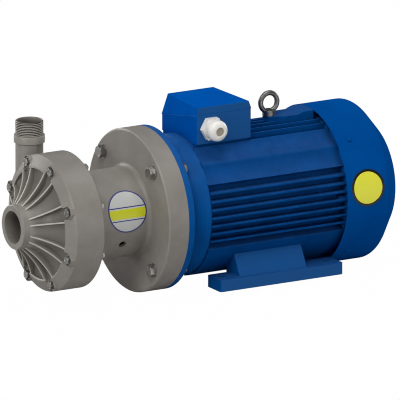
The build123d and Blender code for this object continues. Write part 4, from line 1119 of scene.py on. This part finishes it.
def white_world():
    """White behind the object, and a faint cool glow all round it."""
    world = bpy.data.worlds.new("pale studio")
    bpy.context.scene.world = world
    world.use_nodes = True
    tree = world.node_tree
    tree.nodes.clear()
    glow = add(tree, "ShaderNodeBackground", Color=(0.93, 0.96, 1.0, 1.0))
    backdrop = add(tree, "ShaderNodeBackground", Color=(1.0, 1.0, 1.0, 1.0), Strength=1.0)
    ray = tree.nodes.new("ShaderNodeLightPath")
    mirrored = spread(tree, ray.outputs["Is Glossy Ray"], 0.30, 0.09)
    tree.links.new(mirrored, glow.inputs["Strength"])
    choose = tree.nodes.new("ShaderNodeMixShader")
    end = tree.nodes.new("ShaderNodeOutputWorld")
    tree.links.new(ray.outputs["Is Camera Ray"], choose.inputs["Fac"])
    tree.links.new(glow.outputs["Background"], choose.inputs[1])
    tree.links.new(backdrop.outputs["Background"], choose.inputs[2])
    tree.links.new(choose.outputs["Shader"], end.inputs["Surface"])


def pale_floor():
    """Large white sheet just under the lowest point of the motor flange."""
    mesh = bmesh.new()
    level = cad_box[0][2] - 0.0006
    bmesh.ops.create_grid(mesh, x_segments=1, y_segments=1, size=30.0)
    bmesh.ops.translate(mesh, verts=mesh.verts, vec=(0, 0, level))
    data = bpy.data.meshes.new("floor")
    mesh.to_mesh(data)
    mesh.free()
    floor = bpy.data.objects.new("floor", data)
    bpy.context.scene.collection.objects.link(floor)
    material = bpy.data.materials.new("white floor")
    material.use_nodes = True
    tree = material.node_tree
    tree.nodes.clear()
    matt = add(tree, "ShaderNodeBsdfPrincipled", Base_Color=(0.5, 0.5, 0.5, 1.0))
    matt.inputs["Roughness"].default_value = 0.9
    glow = add(tree, "ShaderNodeEmission", Color=(1.0, 1.0, 1.0, 1.0), Strength=1.0)
    ray = tree.nodes.new("ShaderNodeLightPath")
    share = math_node(tree, "MULTIPLY", ray.outputs["Is Camera Ray"], 0.99)
    choose = tree.nodes.new("ShaderNodeMixShader")
    end = tree.nodes.new("ShaderNodeOutputMaterial")
    tree.links.new(share, choose.inputs["Fac"])
    tree.links.new(matt.outputs["BSDF"], choose.inputs[1])
    tree.links.new(glow.outputs["Emission"], choose.inputs[2])
    tree.links.new(choose.outputs["Shader"], end.inputs["Surface"])
    data.materials.append(material)


def photo_camera():
    """Long lens at the height and turn of the photograph."""
    data = bpy.data.cameras.new("camera")
    data.lens = camera_lens
    data.sensor_width = 36.0
    data.clip_end = 200.0
    camera = bpy.data.objects.new("camera", data)
    bpy.context.scene.collection.objects.link(camera)
    turn, rise = radians(camera_turn), radians(camera_rise)
    back = Vector((sin(turn) * cos(rise), -cos(turn) * cos(rise), sin(rise)))
    camera.location = Vector(camera_target) + back * camera_distance
    camera.rotation_euler = (-back).to_track_quat("-Z", "Y").to_euler()
    bpy.context.scene.camera = camera


def studio_lights():
    """Four lights on the photograph's side and two on the far side."""
    warm, warmer = (1.0, 0.985, 0.96), (1.0, 0.98, 0.95)
    middle = (0, 0, 0.15)
    area_light("key", (-4.6, -3.4, 5.8), (-0.15, 0, 0.15), (2.8, 2.8), 200.0, warm)
    area_light("left", (-6.4, -1.7, 1.9), (-0.25, 0, 0.2), (2.0, 2.0), 95.0)
    area_light("top", (0.2, -1.2, 5.4), middle, (3.6, 2.8), 112.0)
    area_light("low", (0.6, -5.8, 0.5), middle, (3.2, 1.0), 46.0, warmer)
    area_light("far side", (-1.5, 5.6, 2.2), middle, (4.0, 2.4), 150.0, warm)
    area_light("fan side", (6.2, 1.4, 1.8), (0.2, 0, 0.15), (2.4, 2.4), 130.0, warm)


# The part
dress_cad_nodes()
threaded_discharge()
for node_name, sizes in BOLTS.items():
    hexagon_bolts(node_name, **sizes)
neck_label()
cowl_label()

# Its picture
photo_camera()
white_world()
pale_floor()
studio_lights()
bpy.context.scene.view_settings.view_transform = "Standard"
bpy.context.scene.cycles.filter_width = 1.1
